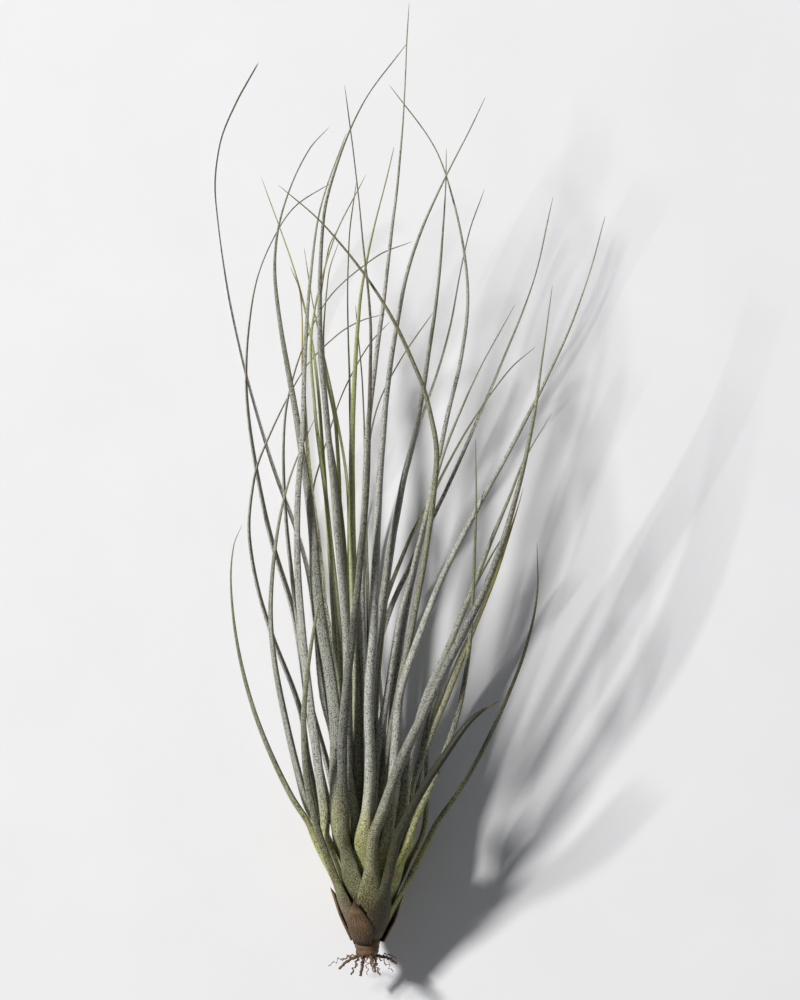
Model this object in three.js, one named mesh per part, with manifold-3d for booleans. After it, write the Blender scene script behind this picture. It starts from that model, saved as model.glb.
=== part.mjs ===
// An air plant with rush-like leaves, lying on its side as picked.
// Millimetres. The stem's axis runs along +Y from its stub to the leaf tips, +X is to the plant's
// right and +Z is up. The plant rests on z = 0.
import * as THREE from 'three';
import { mergeVertices } from 'three/addons/utils/BufferGeometryUtils.js';
import Module from 'manifold-3d';

const wasm = await Module();
wasm.setup();

// The crown: the sheaths lie in a cone round the stem's axis, which rises slowly along +Y and
// drifts a little to the right.
const AXIS_X = -1.2;
const AXIS_DRIFT = 0.025;
const AXIS_HEIGHT = 11.8;
const AXIS_HEIGHT_Y = 16;
const AXIS_RISE = 0.12;
const CROWN_RADIUS = 1.7;
const CROWN_SPREAD = 0.475;
const CROWN_TOP = 25;
const CROWN_POINTS = 4;

// The leaf spiral, from the oldest leaf inwards.
const FIRST_TURN = THREE.MathUtils.degToRad(29);
const GOLDEN_TURN = THREE.MathUtils.degToRad(137.5);
const MOST_TWIST = THREE.MathUtils.degToRad(8);
const LAYER = 0.2;
const FIRST_ATTACH = 3.9;
const ATTACH_STEP = 0.354;
const OUTER_RADIUS = 12.75;

// The sheath at a leaf's base and the channelled rod above it. The higher a leaf leaves the stem,
// the higher its sheath starts to fade into the rod, up to a highest start.
const SHEATH_HALF_TURN = 0.34;
const SHEATH_WIDTH = 5;
const SHEATH_THICK = 0.7;
const FADE_LOWEST = 2.5;
const FADE_RISE = 1.6;
const FADE_HIGHEST = 18;
const FADE_SHARE = 0.75;
const ROD_THICK = 0.5;
const ROD_ARCH = 0.4;
const OUTER_CORNER = 0.5;
const INNER_CORNER = 0.45;
const LEAF_LEAST_WIDTH = 0.75;
const LEAF_LEAST_THICK = 0.7;
const TIP_LENGTH = 1.2;
const LEAN_POWER = 1.2;
const OUTWARD_BOW = 4;

// Where leaves cross they bend clear of each other, up and down, at levels along Y.
const LEVEL_STEP = 2;
const LEVEL_COUNT = 100;
const CLEAR_GAP = 0.5;
const CLEAR_FROM = 24;
const CLEAR_RAMP = 6;
const CLEAR_ROUNDS = 400;
const CLEAR_SHARE = 0.45;
const SHIFT_EASE = 0.15;
const LEVEL_SAMPLES = 240;
const FLOOR_PRESS = 0.3;

// The stem, with its broken lower end and its growing top.
const STEM_RADIUS = 2.9;
const STEM_TAPER = 0.09;
const STEM_TOP = 22;
const STUB_RADIUS = 1.4;
const STUB_SHOULDER_RADIUS = 2.3;
const STUB_SHOULDER = 0.7;
const STEM_FROM = 3;
const STEM_STEP = 4;
const BUD_RADIUS = 0.5;
const BUD_HEIGHT = 0.8;

// The wiry roots leave the stem near its lower end and turn down past it.
const ROOT_RADIUS = 0.45;
const ROOT_HEIGHT = 1.6;
const ROOT_SINK = 0.9;
const ROOT_ELBOW_REACH = 1.9;
const ROOT_ELBOW_DROP = 1.2;
const ROOT_BEND_REACH = 0.7;
const ROOT_BEND_DROP = 0.6;

// How finely the pieces are faceted.
const STEM_SIDES = 16;
const ROOT_STEPS = 7;
const ROOT_SIDES = 6;
const CROWN_RINGS = 4;
const RING_SPACING = 10;
const TANGENT_STEP = 0.002;
const MERGE_DISTANCE = 1e-4;

// The plant's middle, seen from above, lies over the origin.
const ORIGIN_X = 7.4;
const ORIGIN_Y = 96.2;

// Each leaf, oldest first: its rod's width, how that width falls to the tip, where the tip aims
// over the surface before the leaf bends clear, colour group, and the run of its middle line
// above the crown, seen from above as x, y.
const leafRuns = [
  { name: 'leaf_01_front_right_dried', wide: 2.5, fall: 0.34, tipZ: 34, tone: 'dried',
    run: [[7, 28.4], [9.6, 33.4], [13.6, 40], [19.2, 48], [22.6, 51.2], [26.2, 53.2]] },
  { name: 'leaf_02_back_low', wide: 2.2, fall: 0.8, tipZ: 5, tone: 'silver',
    run: [[1.6, 37], [1.2, 49], [0.2, 65], [0.6, 77], [1, 89], [1.4, 101]] },
  { name: 'leaf_03_front_left', wide: 2.2, fall: 0.55, tipZ: 40, tone: 'purple',
    run: [[-12, 28], [-13.8, 37], [-14.4, 48], [-13.8, 57], [-12.4, 67], [-11.3, 72.6],
      [-9.6, 77.4]] },
  { name: 'leaf_04_right_outer', wide: 1.9, fall: 0.6, tipZ: 26, tone: 'olive',
    run: [[13.2, 27.6], [18, 34.6], [23, 43.4], [27.6, 53.4], [31.4, 63.4], [33.8, 74.6],
      [33.8, 85.8]] },
  { name: 'leaf_05_left_long_hook', wide: 1.7, fall: 1.2, tipZ: -3, tone: 'silver',
    run: [[-8.6, 45], [-10.8, 54], [-12.4, 72], [-15, 84.6], [-22.2, 105.6], [-28.4, 129],
      [-32.6, 156], [-31.8, 167.8], [-28.4, 176.6], [-23.8, 185]] },
  { name: 'leaf_06_front_arching', wide: 2.9, fall: 0.9, tipZ: 40, tone: 'purple',
    run: [[2, 30], [5.6, 40], [8, 45.4], [13.4, 56.6], [19.6, 69], [25, 81], [29, 93.4], [32, 106],
      [35.2, 126], [36.8, 138.6]] },
  { name: 'leaf_07_back_right_low', wide: 2, fall: 0.7, tipZ: 0, tone: 'silver',
    run: [[9.6, 37], [11.6, 48], [14.6, 58], [18.8, 67.4], [22.4, 75], [25.6, 82.8]] },
  { name: 'leaf_08_far_left_short', wide: 2.2, fall: 0.7, tipZ: 30, tone: 'olive',
    run: [[-13.3, 27.5], [-16.8, 33], [-21.4, 42.6], [-25.2, 53], [-28, 65], [-29.2, 77],
      [-28.6, 85], [-26.8, 89.4]] },
  { name: 'leaf_09_right_upright', wide: 1.9, fall: 0.8, tipZ: 34, tone: 'olive',
    run: [[9.4, 29.4], [12.6, 36.4], [17, 48], [19.3, 59], [20.4, 69], [21.2, 89], [21.2, 107]] },
  { name: 'leaf_10_back_left_low', wide: 2.2, fall: 0.7, tipZ: 2, tone: 'silver',
    run: [[-6, 37], [-6.2, 50], [-5, 64], [-3.8, 77], [-2.6, 87], [-2, 96]] },
  { name: 'leaf_11_front_centre_left', wide: 2.7, fall: 1.2, tipZ: 46, tone: 'purple',
    run: [[-6.2, 30], [-6.6, 38], [-6.2, 50], [-4.4, 67], [-2.6, 83], [-1.4, 97], [-0.8, 113],
      [-0.5, 129], [-1.6, 143], [-3.2, 159], [-5.8, 179.4]] },
  { name: 'leaf_12_right_thin_olive', wide: 1.6, fall: 0.45, tipZ: 16, tone: 'olive',
    run: [[11.2, 31], [11.2, 41], [12, 53], [14.8, 61], [18, 69], [21, 76.4], [27.6, 88.4]] },
  { name: 'leaf_13_left_wide_hook', wide: 1.8, fall: 0.85, tipZ: 22, tone: 'silver',
    run: [[-13.6, 41], [-15.2, 51], [-21, 66.6], [-23.8, 76], [-25.6, 87], [-25.2, 95],
      [-23.2, 103.4], [-14.4, 121], [-7.4, 128.4], [-2.4, 131.4], [2.8, 132.8]] },
  { name: 'leaf_14_far_right', wide: 2.5, fall: 0.95, tipZ: 34, tone: 'silver',
    run: [[3.9, 31], [5, 46], [6.2, 56], [13.1, 75.4], [17.9, 85.6], [29.4, 107], [35.4, 118.4],
      [41, 131], [44.8, 142], [47.8, 152.8]] },
  { name: 'leaf_15_right_pale', wide: 1.9, fall: 0.9, tipZ: 15, tone: 'silver',
    run: [[2.4, 37], [0.2, 58], [3.4, 71], [8.4, 82], [17, 100.4], [26, 121], [31.2, 134],
      [34.4, 144], [37.2, 157]] },
  { name: 'leaf_16_left_thick', wide: 2.7, fall: 0.8, tipZ: 40, tone: 'silver',
    run: [[-10.2, 29], [-11.5, 39], [-13, 51], [-14.6, 65], [-15.7, 81], [-15.6, 95], [-14.6, 109],
      [-14, 125], [-13, 139], [-10.8, 154], [-5.4, 169.8]] },
  { name: 'leaf_17_right_brown_tip', wide: 2, fall: 0.6, tipZ: 27, tone: 'browned',
    run: [[7.8, 33], [11.2, 43.4], [16.1, 55.4], [20.6, 67], [25.4, 79], [28.9, 89.6], [31, 97]] },
  { name: 'leaf_18_low_crossing_right', wide: 2, fall: 1.3, tipZ: 18, tone: 'olive',
    run: [[-7.4, 37], [-9.6, 53], [-12, 69], [-13, 83], [-12.4, 96], [-10.9, 102], [-7.2, 114],
      [-4.4, 120.4], [-0.4, 127], [3.6, 131.2]] },
  { name: 'leaf_19_centre_thick', wide: 2.7, fall: 0.85, tipZ: 36, tone: 'silver',
    run: [[-1.3, 30], [-0.7, 37], [-0.8, 53], [0, 69], [0.8, 87], [1.6, 103], [3, 117], [4.8, 130],
      [7.6, 143], [12, 154.4], [23.2, 177.2]] },
  { name: 'leaf_20_back_right_short', wide: 1.8, fall: 0.6, tipZ: 8, tone: 'silver',
    run: [[8.8, 37], [11.6, 46], [15.2, 56], [18, 62.6], [21, 69]] },
  { name: 'leaf_21_left_bowed', wide: 2.5, fall: 0.75, tipZ: 26, tone: 'silver',
    run: [[-13.2, 30], [-15.6, 38], [-18.4, 50], [-20.4, 61], [-21.2, 71], [-20.4, 83],
      [-18.6, 93.6], [-16, 102], [-11, 113.2]] },
  { name: 'leaf_22_front_right_inner', wide: 2.5, fall: 0.75, tipZ: 31, tone: 'silver',
    run: [[6.2, 29], [7.6, 40], [11, 53], [14.8, 62], [18.8, 71.4], [24.1, 85], [28.2, 95],
      [31, 102.4], [36.9, 112.3]] },
  { name: 'leaf_23_back_centre_short', wide: 2, fall: 0.6, tipZ: 12, tone: 'silver',
    run: [[-1.2, 37], [-1.6, 53], [-2.2, 69], [-1.8, 85], [-1.4, 97]] },
  { name: 'leaf_24_left_broad', wide: 3.8, fall: 1, tipZ: 30, tone: 'silver',
    run: [[-8, 37], [-8, 46], [-9, 57], [-11, 69], [-11.9, 77], [-13.2, 93], [-16.4, 114],
      [-20, 137], [-19.9, 148], [-17.4, 157.4], [-13, 166.5], [-8.9, 171.1]] },
  { name: 'leaf_25_right_side_short', wide: 1.8, fall: 0.6, tipZ: 17, tone: 'silver',
    run: [[6.2, 37], [5.4, 47], [6.6, 58], [9.2, 67], [12.8, 76], [16.6, 84]] },
  { name: 'leaf_26_left_high_hook', wide: 2.1, fall: 0.95, tipZ: 16, tone: 'silver',
    run: [[-10, 33], [-12.8, 47], [-16.6, 71], [-21.6, 88], [-25.2, 107], [-26.2, 119],
      [-25.8, 129], [-24, 139.6], [-20.4, 148.6], [-16, 155], [-8.6, 159.8]] },
  { name: 'leaf_27_centre_to_right', wide: 2.2, fall: 0.9, tipZ: 26, tone: 'silver',
    run: [[0, 31], [0.8, 41], [2.6, 52], [5.4, 69], [8, 79], [13.6, 101], [17.4, 111], [21.8, 121],
      [29.2, 134.6]] },
  { name: 'leaf_28_right_dark', wide: 1.8, fall: 0.8, tipZ: 12, tone: 'olive',
    run: [[1.6, 37], [0.4, 54], [1.8, 70], [7.2, 85], [11, 92.6], [15.1, 101], [20, 109.6],
      [28, 121], [33.6, 126]] },
  { name: 'leaf_29_green_left', wide: 2.2, fall: 0.8, tipZ: 24, tone: 'green',
    run: [[-7.2, 37], [-7.2, 51], [-8.6, 77], [-10.2, 101], [-12, 123], [-15.8, 140.4],
      [-23, 161]] },
  { name: 'leaf_30_right_s_curve', wide: 2, fall: 0.8, tipZ: 34, tone: 'silver',
    run: [[4, 37], [4, 46], [6.6, 69], [11.6, 93], [15.6, 112], [18.4, 124], [19.6, 135],
      [18.8, 145.8], [16.6, 156], [12.6, 167], [3.4, 179.6]] },
  { name: 'leaf_31_fine_centre', wide: 1.3, fall: 0.9, tipZ: 22, tone: 'olive',
    run: [[-3.2, 41], [-4.4, 57], [-5, 73], [-4.8, 89], [-4.6, 105], [-5, 125], [-5, 147],
      [-3.4, 160]] },
  { name: 'leaf_32_thick_leaning_right', wide: 2.4, fall: 0.8, tipZ: 42, tone: 'silver',
    run: [[-4, 30], [-5.4, 39], [-5.6, 67], [-6.8, 81], [-9.7, 113], [-11, 129], [-10, 153],
      [-6.8, 165], [-1.4, 176.6], [7.2, 188.2]] },
  { name: 'leaf_33_inner_right_short', wide: 1.8, fall: 0.6, tipZ: 15, tone: 'silver',
    run: [[2.4, 37], [2.6, 49], [4, 59], [6, 68], [8, 77], [9.8, 84]] },
  { name: 'leaf_34_left_to_right_arch', wide: 1.8, fall: 0.9, tipZ: 24, tone: 'silver',
    run: [[-9.4, 39], [-13.2, 53], [-16.6, 77], [-18.4, 97], [-17.4, 116], [-10.2, 134.4],
      [0.6, 144.4], [8.2, 147.6]] },
  { name: 'leaf_35_front_long_s', wide: 1.9, fall: 0.6, tipZ: 44, tone: 'olive',
    run: [[2, 36], [4.6, 50], [8.6, 71], [10.6, 81], [12.4, 94], [13.2, 103], [12.6, 109],
      [9.8, 119.4], [1.2, 136.4], [-9.4, 150.2], [-19.4, 159]] },
  { name: 'leaf_36_right_arc', wide: 1.7, fall: 0.9, tipZ: 20, tone: 'silver',
    run: [[-0.6, 45], [0.2, 59], [3.8, 85], [8.8, 107], [15.2, 127], [19.8, 149.4], [23, 158.6]] },
  { name: 'leaf_37_green_bowed_left', wide: 1.8, fall: 0.8, tipZ: 26, tone: 'green',
    run: [[-6, 45], [-7.4, 71], [-9.6, 93], [-12, 113], [-12.6, 130], [-8, 148], [-1.4, 161.4]] },
  { name: 'leaf_38_inner_right_upright', wide: 1.7, fall: 0.6, tipZ: 22, tone: 'silver',
    run: [[5.2, 41], [6, 55], [7.2, 65], [9.4, 75], [11, 84], [12.4, 93]] },
  { name: 'leaf_39_green_crossing', wide: 2, fall: 0.8, tipZ: 22, tone: 'green',
    run: [[-5.6, 39], [-5.4, 57], [-6.8, 85], [-7.7, 109], [-10.2, 124], [-9.2, 140.6],
      [-7, 147.4]] },
  { name: 'leaf_40_centre_right_thick', wide: 2.4, fall: 0.8, tipZ: 34, tone: 'silver',
    run: [[-1, 37], [-0.8, 49], [1.8, 73], [6, 97], [8.8, 109], [13, 135], [15, 159],
      [15.2, 166.6]] },
  { name: 'leaf_41_short_hook_right', wide: 1.4, fall: 0.9, tipZ: 22, tone: 'olive',
    run: [[0, 39], [-0.8, 69], [-1.2, 99], [0.6, 112.4], [5.6, 123], [12.8, 133.4]] },
  { name: 'leaf_42_green_centre', wide: 1.9, fall: 0.8, tipZ: 20, tone: 'green',
    run: [[-4, 41], [-5, 73], [-5.2, 96], [-7.8, 113], [-12.2, 134], [-14.2, 146.6]] },
  { name: 'leaf_43_inner_upright', wide: 1.5, fall: 0.9, tipZ: 28, tone: 'olive',
    run: [[1.4, 37], [0.4, 49], [-1.8, 65], [-2.4, 77], [-1.6, 101], [-2, 117], [-3.6, 134.6]] },
  { name: 'leaf_44_fine_left_clump_tip', wide: 2.2, fall: 0.85, tipZ: 18, tone: 'browned',
    run: [[-3, 37], [-6, 53], [-9.8, 71], [-10.9, 83], [-12.8, 97], [-14.4, 121], [-15, 137],
      [-17, 142.6]] },
  { name: 'leaf_45_green_inner_long', wide: 2.7, fall: 0.9, tipZ: 34, tone: 'green',
    run: [[-3.4, 41], [-3.6, 58], [-4.2, 75], [-4.5, 103], [-3, 133], [-1.2, 144], [4.4, 167]] },
  { name: 'leaf_46_inner_short', wide: 1.5, fall: 0.6, tipZ: 20, tone: 'green',
    run: [[0.6, 37], [1, 53], [2.2, 67], [3.6, 79], [5, 88]] },
  { name: 'leaf_47_green_inner_left', wide: 1.7, fall: 0.8, tipZ: 26, tone: 'green',
    run: [[-3, 39], [-5.2, 69], [-6.8, 93], [-10.6, 118], [-11.2, 129], [-9.2, 146],
      [-6.8, 151]] },
  { name: 'leaf_48_tallest', wide: 2.1, fall: 0.9, tipZ: 40, tone: 'silver',
    run: [[-1.2, 39], [-1.2, 49], [-2.2, 73], [-1.2, 105], [0.4, 121], [3.8, 148], [6.2, 172],
      [7.4, 196.4]] },
];

// Dry brown remains of still older leaves, which follow the same spiral outwards.
const drySheaths = [
  { name: 'dry_sheath_1', wide: 3.8, fall: 0.4, tipY: 14.5, tipZ: 8, tone: 'dried', run: [] },
  { name: 'dry_sheath_2', wide: 3.6, fall: 0.4, tipY: 13, tipZ: 8, tone: 'dried', run: [] },
  { name: 'dry_sheath_3', wide: 3.4, fall: 0.4, tipY: 12, tipZ: 8, tone: 'dried', run: [] },
  { name: 'dry_sheath_4', wide: 3.2, fall: 0.4, tipY: 11, tipZ: 8, tone: 'dried', run: [] },
];

// Wiry roots: the way each one leaves the stem, in degrees round it, and how far out and down.
const roots = [
  { turn: 20, reach: 5, drop: 4.5 },
  { turn: 110, reach: 6.5, drop: 3 },
  { turn: 200, reach: 4, drop: 5.5 },
  { turn: 285, reach: 6, drop: 4 },
];

const toneColours = {
  silver: '#8f918b',
  olive: '#7d7f5c',
  green: '#93a367',
  purple: '#7a7470',
  browned: '#8a7a4a',
  dried: '#4d4230',
  wood: '#5c4a36',
};

function axisX(y) {
  return AXIS_X + AXIS_DRIFT * y;
}

function axisHeight(y) {
  return AXIS_HEIGHT + AXIS_RISE * (y - AXIS_HEIGHT_Y);
}

function smoothStep(value) {
  const t = Math.min(1, Math.max(0, value));
  return t * t * (3 - 2 * t);
}

// A smooth curve through the points: on each stretch a cubic whose end slopes are the chords
// between a point's neighbours, measured by the length of the stretches.
function curveThrough(points) {
  const lengths = points.slice(1).map((point, i) => point.distanceTo(points[i]));
  const knots = lengths.reduce((sums, length) => [...sums, sums.at(-1) + length], [0]);
  const last = points.length - 1;
  const slopes = points.map((point, i) => {
    const before = Math.max(0, i - 1);
    const after = Math.min(last, i + 1);
    return points[after].clone().sub(points[before]).divideScalar(knots[after] - knots[before]);
  });
  const total = knots.at(-1);
  const at = (share) => {
    const along = share * total;
    let i = 0;
    while (i < last - 1 && along > knots[i + 1]) i += 1;
    const span = knots[i + 1] - knots[i];
    const t = (along - knots[i]) / span;
    const t2 = t * t;
    const t3 = t2 * t;
    return points[i].clone().multiplyScalar(2 * t3 - 3 * t2 + 1)
      .addScaledVector(slopes[i], (t3 - 2 * t2 + t) * span)
      .addScaledVector(points[i + 1], 3 * t2 - 2 * t3)
      .addScaledVector(slopes[i + 1], (t3 - t2) * span);
  };
  return { at, total, crownShare: knots[CROWN_POINTS - 1] / total };
}

// The way a sheath faces: its golden-angle turn, twisted a little to where its run sets out.
function sheathTurn(run, rank, radius) {
  const golden = FIRST_TURN + rank * GOLDEN_TURN;
  if (run.length === 0) {
    return golden;
  }
  const [[firstX, firstY], [nextX, nextY]] = run;
  const aim = firstX - (nextX - firstX) / (nextY - firstY) * (firstY - CROWN_TOP);
  const off = (aim - axisX(CROWN_TOP)) / radius - Math.sin(golden);
  return golden + THREE.MathUtils.clamp(off * Math.cos(golden), -MOST_TWIST, MOST_TWIST);
}

// The leaf's place in the spiral gives its base, and its run and tip height the rest.
function layOutLeaf(spec, rank) {
  const attachY = FIRST_ATTACH + rank * ATTACH_STEP;
  const radiusAt = (y) => CROWN_RADIUS + CROWN_SPREAD * y - SHEATH_THICK / 2 - rank * LAYER;
  const turn = sheathTurn(spec.run, rank, radiusAt(CROWN_TOP));
  const atCrown = (y) => new THREE.Vector3(
    axisX(y) + radiusAt(y) * Math.sin(turn),
    y,
    axisHeight(y) + radiusAt(y) * Math.cos(turn),
  );
  const tipY = spec.run.length > 0 ? spec.run.at(-1)[1] : spec.tipY;
  const crownY = Math.min(CROWN_TOP, tipY);
  const topOffset = radiusAt(CROWN_TOP) * Math.cos(turn);
  const tipOffset = spec.tipZ - axisHeight(tipY);
  const bow = OUTWARD_BOW * Math.cos(turn) * (radiusAt(CROWN_TOP) / OUTER_RADIUS) ** 2;
  const free = spec.run.map(([x, y]) => {
    const share = (y - CROWN_TOP) / (tipY - CROWN_TOP);
    const lean = topOffset + (tipOffset - topOffset) * share ** LEAN_POWER;
    return new THREE.Vector3(x, y, axisHeight(y) + lean + bow * 4 * share * (1 - share));
  });
  const inCrown = Array.from({ length: CROWN_POINTS }, (_, i) => (
    atCrown(THREE.MathUtils.lerp(attachY, crownY, i / (CROWN_POINTS - 1)))));
  const outward = new THREE.Vector3(Math.sin(turn), 0, Math.cos(turn));
  return { ...spec, turn, attachY, tipY, outward, radiusAt, ...curveThrough([...inCrown, ...free]) };
}

// Width, thickness and arch of a leaf's section at a height along Y: a curved sheath low down,
// which turns into a channelled rod that narrows to the tip.
function sectionAt(leaf, y) {
  const toTip = Math.max(0, (leaf.tipY - y) / (leaf.tipY - leaf.attachY));
  const rodWidth = Math.max(LEAF_LEAST_WIDTH, leaf.wide * toTip ** leaf.fall);
  const rodThick = Math.max(LEAF_LEAST_THICK, ROD_THICK * rodWidth);
  const fadeStart = Math.min(FADE_HIGHEST, FADE_LOWEST + FADE_RISE * leaf.attachY);
  const rodShare = smoothStep((y / fadeStart - 1) / FADE_SHARE);
  const radius = leaf.radiusAt(Math.min(y, CROWN_TOP));
  const sheathWidth = Math.min(SHEATH_WIDTH, 2 * radius * Math.sin(SHEATH_HALF_TURN));
  const sheathArch = radius - Math.sqrt(radius ** 2 - (sheathWidth / 2) ** 2);
  return {
    width: THREE.MathUtils.lerp(sheathWidth, rodWidth, rodShare),
    thick: THREE.MathUtils.lerp(SHEATH_THICK, rodThick, rodShare ** 2),
    arch: THREE.MathUtils.lerp(sheathArch, ROD_ARCH * rodWidth, rodShare ** 2),
  };
}

// At each level along Y that a leaf reaches: where its middle line crosses it, the half sizes of
// the leaf's section there across and up, and how far the leaf has bent clear so far.
function sampleLevels(leaf) {
  const samples = Array.from({ length: LEVEL_SAMPLES + 1 }, (_, i) => leaf.at(i / LEVEL_SAMPLES));
  leaf.levels = [];
  leaf.shift = new Array(LEVEL_COUNT).fill(0);
  let after = 1;
  for (let level = 0; level < LEVEL_COUNT; level += 1) {
    const y = level * LEVEL_STEP;
    if (y < samples[0].y || y > samples.at(-1).y) {
      continue;
    }
    while (after < LEVEL_SAMPLES && samples[after].y < y) {
      after += 1;
    }
    const low = samples[after - 1];
    const high = samples[after];
    const middle = low.clone().lerp(high, (y - low.y) / (high.y - low.y));
    const slant = Math.hypot(1, (high.x - low.x) / (high.y - low.y));
    const { width, thick, arch } = sectionAt(leaf, y);
    const halfWidth = width / 2;
    const halfDepth = (thick / 2 + arch) / 2;
    leaf.levels[level] = {
      x: middle.x,
      z: middle.z,
      across: slant * Math.hypot(halfWidth * leaf.outward.z, halfDepth * leaf.outward.x),
      up: Math.hypot(halfWidth * leaf.outward.x, halfDepth * leaf.outward.z),
    };
  }
}

// Every stretch of levels on which two leaves lie over each other, and which of them is on top all
// along it: the one on top where they leave the crown, or else the higher one on the whole.
function findCrossings(leaves) {
  const crossings = [];
  leaves.forEach((one, index) => {
    for (const other of leaves.slice(index + 1)) {
      let stretch = null;
      for (let level = 0; level < LEVEL_COUNT; level += 1) {
        const here = one.levels[level];
        const there = other.levels[level];
        const together = here && there;
        const across = together ? (here.x - there.x) / (here.across + there.across + CLEAR_GAP) : 1;
        if (Math.abs(across) >= 1) {
          stretch = null;
          continue;
        }
        if (!stretch) {
          stretch = { one, other, higher: 0, places: [] };
          crossings.push(stretch);
        }
        const between = here.z - there.z;
        const reachUp = (here.up + there.up + CLEAR_GAP) * Math.sqrt(1 - across ** 2);
        const startLevel = stretch.places[0]?.level ?? level;
        if (startLevel === level || startLevel * LEVEL_STEP >= CROWN_TOP) {
          stretch.higher += between;
        }
        stretch.places.push({ level, between, reachUp });
      }
    }
  });
  return crossings;
}

// Leaves that come closer than the gap where they cross part from each other, one up and one
// down, little by little, and each shift is evened out along the leaf. None goes below the surface.
function bendClear(leaves) {
  const freedom = (level) => smoothStep((level * LEVEL_STEP - CLEAR_FROM) / CLEAR_RAMP);
  const crossings = findCrossings(leaves);
  for (let round = 0; round < CLEAR_ROUNDS; round += 1) {
    for (const leaf of leaves) {
      leaf.push = new Array(LEVEL_COUNT).fill(0);
    }
    for (const { one, other, higher, places } of crossings) {
      const way = Math.sign(higher);
      for (const { level, between, reachUp } of places) {
        const missing = reachUp - way * (between + one.shift[level] - other.shift[level]);
        if (missing > 0) {
          one.push[level] += way * missing * CLEAR_SHARE;
          other.push[level] -= way * missing * CLEAR_SHARE;
        }
      }
    }
    for (const leaf of leaves) {
      const push = evenOut(leaf, leaf.push);
      const even = evenOut(leaf, leaf.shift);
      leaf.shift = leaf.shift.map((shift, level) => {
        if (!leaf.levels[level] || freedom(level) === 0) {
          return 0;
        }
        const { z, up } = leaf.levels[level];
        const eased = THREE.MathUtils.lerp(shift, even[level], SHIFT_EASE);
        return Math.max(eased + push[level] * freedom(level), up - FLOOR_PRESS - z);
      });
    }
  }
}

// The average of each level's value and its neighbours', within the levels that the leaf reaches.
function evenOut(leaf, values) {
  return values.map((value, level) => {
    const below = leaf.levels[level - 1] ? values[level - 1] : value;
    const above = leaf.levels[level + 1] ? values[level + 1] : value;
    return (below + 2 * value + above) / 4;
  });
}

// The shift between two levels, on a Catmull-Rom curve through the levels' values. Past the leaf's
// first or last level the nearest value holds.
function shiftAt(leaf, y) {
  const level = Math.floor(y / LEVEL_STEP);
  const t = y / LEVEL_STEP - level;
  const nearest = leaf.levels[level] ? level : level + 1;
  const near = (index) => leaf.shift[leaf.levels[index] ? index : nearest] ?? 0;
  const [p0, p1, p2, p3] = [near(level - 1), near(level), near(level + 1), near(level + 2)];
  const linear = (p2 - p0) / 2;
  const square = p0 - 2.5 * p1 + 2 * p2 - 0.5 * p3;
  const cube = 1.5 * (p1 - p2) + (p3 - p0) / 2;
  return p1 + t * (linear + t * (square + t * cube));
}

function clearPoint(leaf, share) {
  const point = leaf.at(share);
  point.z += shiftAt(leaf, point.y);
  return point;
}

// A six-cornered ring across the leaf: four corners on its outer side, the outermost ones its
// edges, and two in the channel of its inner side.
function leafRing(leaf, share) {
  const centre = clearPoint(leaf, share);
  const ahead = clearPoint(leaf, Math.min(1, share + TANGENT_STEP));
  const behind = clearPoint(leaf, Math.max(0, share - TANGENT_STEP));
  const tangent = ahead.sub(behind).normalize();
  const out = leaf.outward.clone().addScaledVector(tangent, -tangent.dot(leaf.outward)).normalize();
  const side = tangent.clone().cross(out);
  const { width, thick, arch } = sectionAt(leaf, centre.y);
  const outer = (u) => -arch + (arch + thick / 2) * Math.sqrt(1 - u * u);
  const inner = (u) => -arch + (arch - thick / 2) * (1 - u * u);
  const corners = [
    [-1, outer(-1)], [-OUTER_CORNER, outer(OUTER_CORNER)], [OUTER_CORNER, outer(OUTER_CORNER)],
    [1, outer(1)], [INNER_CORNER, inner(INNER_CORNER)], [-INNER_CORNER, inner(INNER_CORNER)],
  ];
  return corners.map(([u, n]) => {
    const corner = centre.clone().addScaledVector(side, u * width / 2).addScaledVector(out, n);
    corner.z = Math.max(0, corner.z);
    return corner;
  });
}

// Rings from the leaf's base to just short of its tip, joined in facets and closed to a point.
function leafGeometry(leaf) {
  const freeRings = Math.round(leaf.total * (1 - leaf.crownShare) / RING_SPACING);
  const shares = [];
  for (let i = 0; i < CROWN_RINGS; i += 1) {
    shares.push(leaf.crownShare * i / CROWN_RINGS);
  }
  for (let i = 0; i < freeRings; i += 1) {
    shares.push(leaf.crownShare + (1 - leaf.crownShare) * i / freeRings);
  }
  shares.push(1 - TIP_LENGTH / leaf.total);
  const rings = shares.map((share) => leafRing(leaf, share));
  const tip = clearPoint(leaf, 1);
  tip.z = Math.max(LEAF_LEAST_THICK / 2, tip.z);
  const sides = rings[0].length;
  const vertices = [...rings.flat(), tip];
  const triangles = [];
  for (let ring = 0; ring < rings.length - 1; ring += 1) {
    for (let i = 0; i < sides; i += 1) {
      const a = ring * sides + i;
      const b = ring * sides + (i + 1) % sides;
      triangles.push(a, b, a + sides, b, b + sides, a + sides);
    }
  }
  const lastRing = (rings.length - 1) * sides;
  for (let i = 0; i < sides; i += 1) {
    triangles.push(lastRing + i, lastRing + (i + 1) % sides, vertices.length - 1);
  }
  const baseCap = [[0, 5, 1], [1, 5, 4], [1, 4, 2], [2, 4, 3]];
  triangles.push(...baseCap.flat());
  const geometry = new THREE.BufferGeometry().setFromPoints(vertices);
  geometry.setIndex(triangles);
  return geometry;
}

function toSolid(geometry) {
  const bare = geometry.clone();
  bare.deleteAttribute('normal');
  bare.deleteAttribute('uv');
  const merged = mergeVertices(bare, MERGE_DISTANCE);
  return new wasm.Manifold(new wasm.Mesh({
    numProp: 3,
    vertProperties: merged.attributes.position.array,
    triVerts: merged.index.array,
  }));
}

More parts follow.
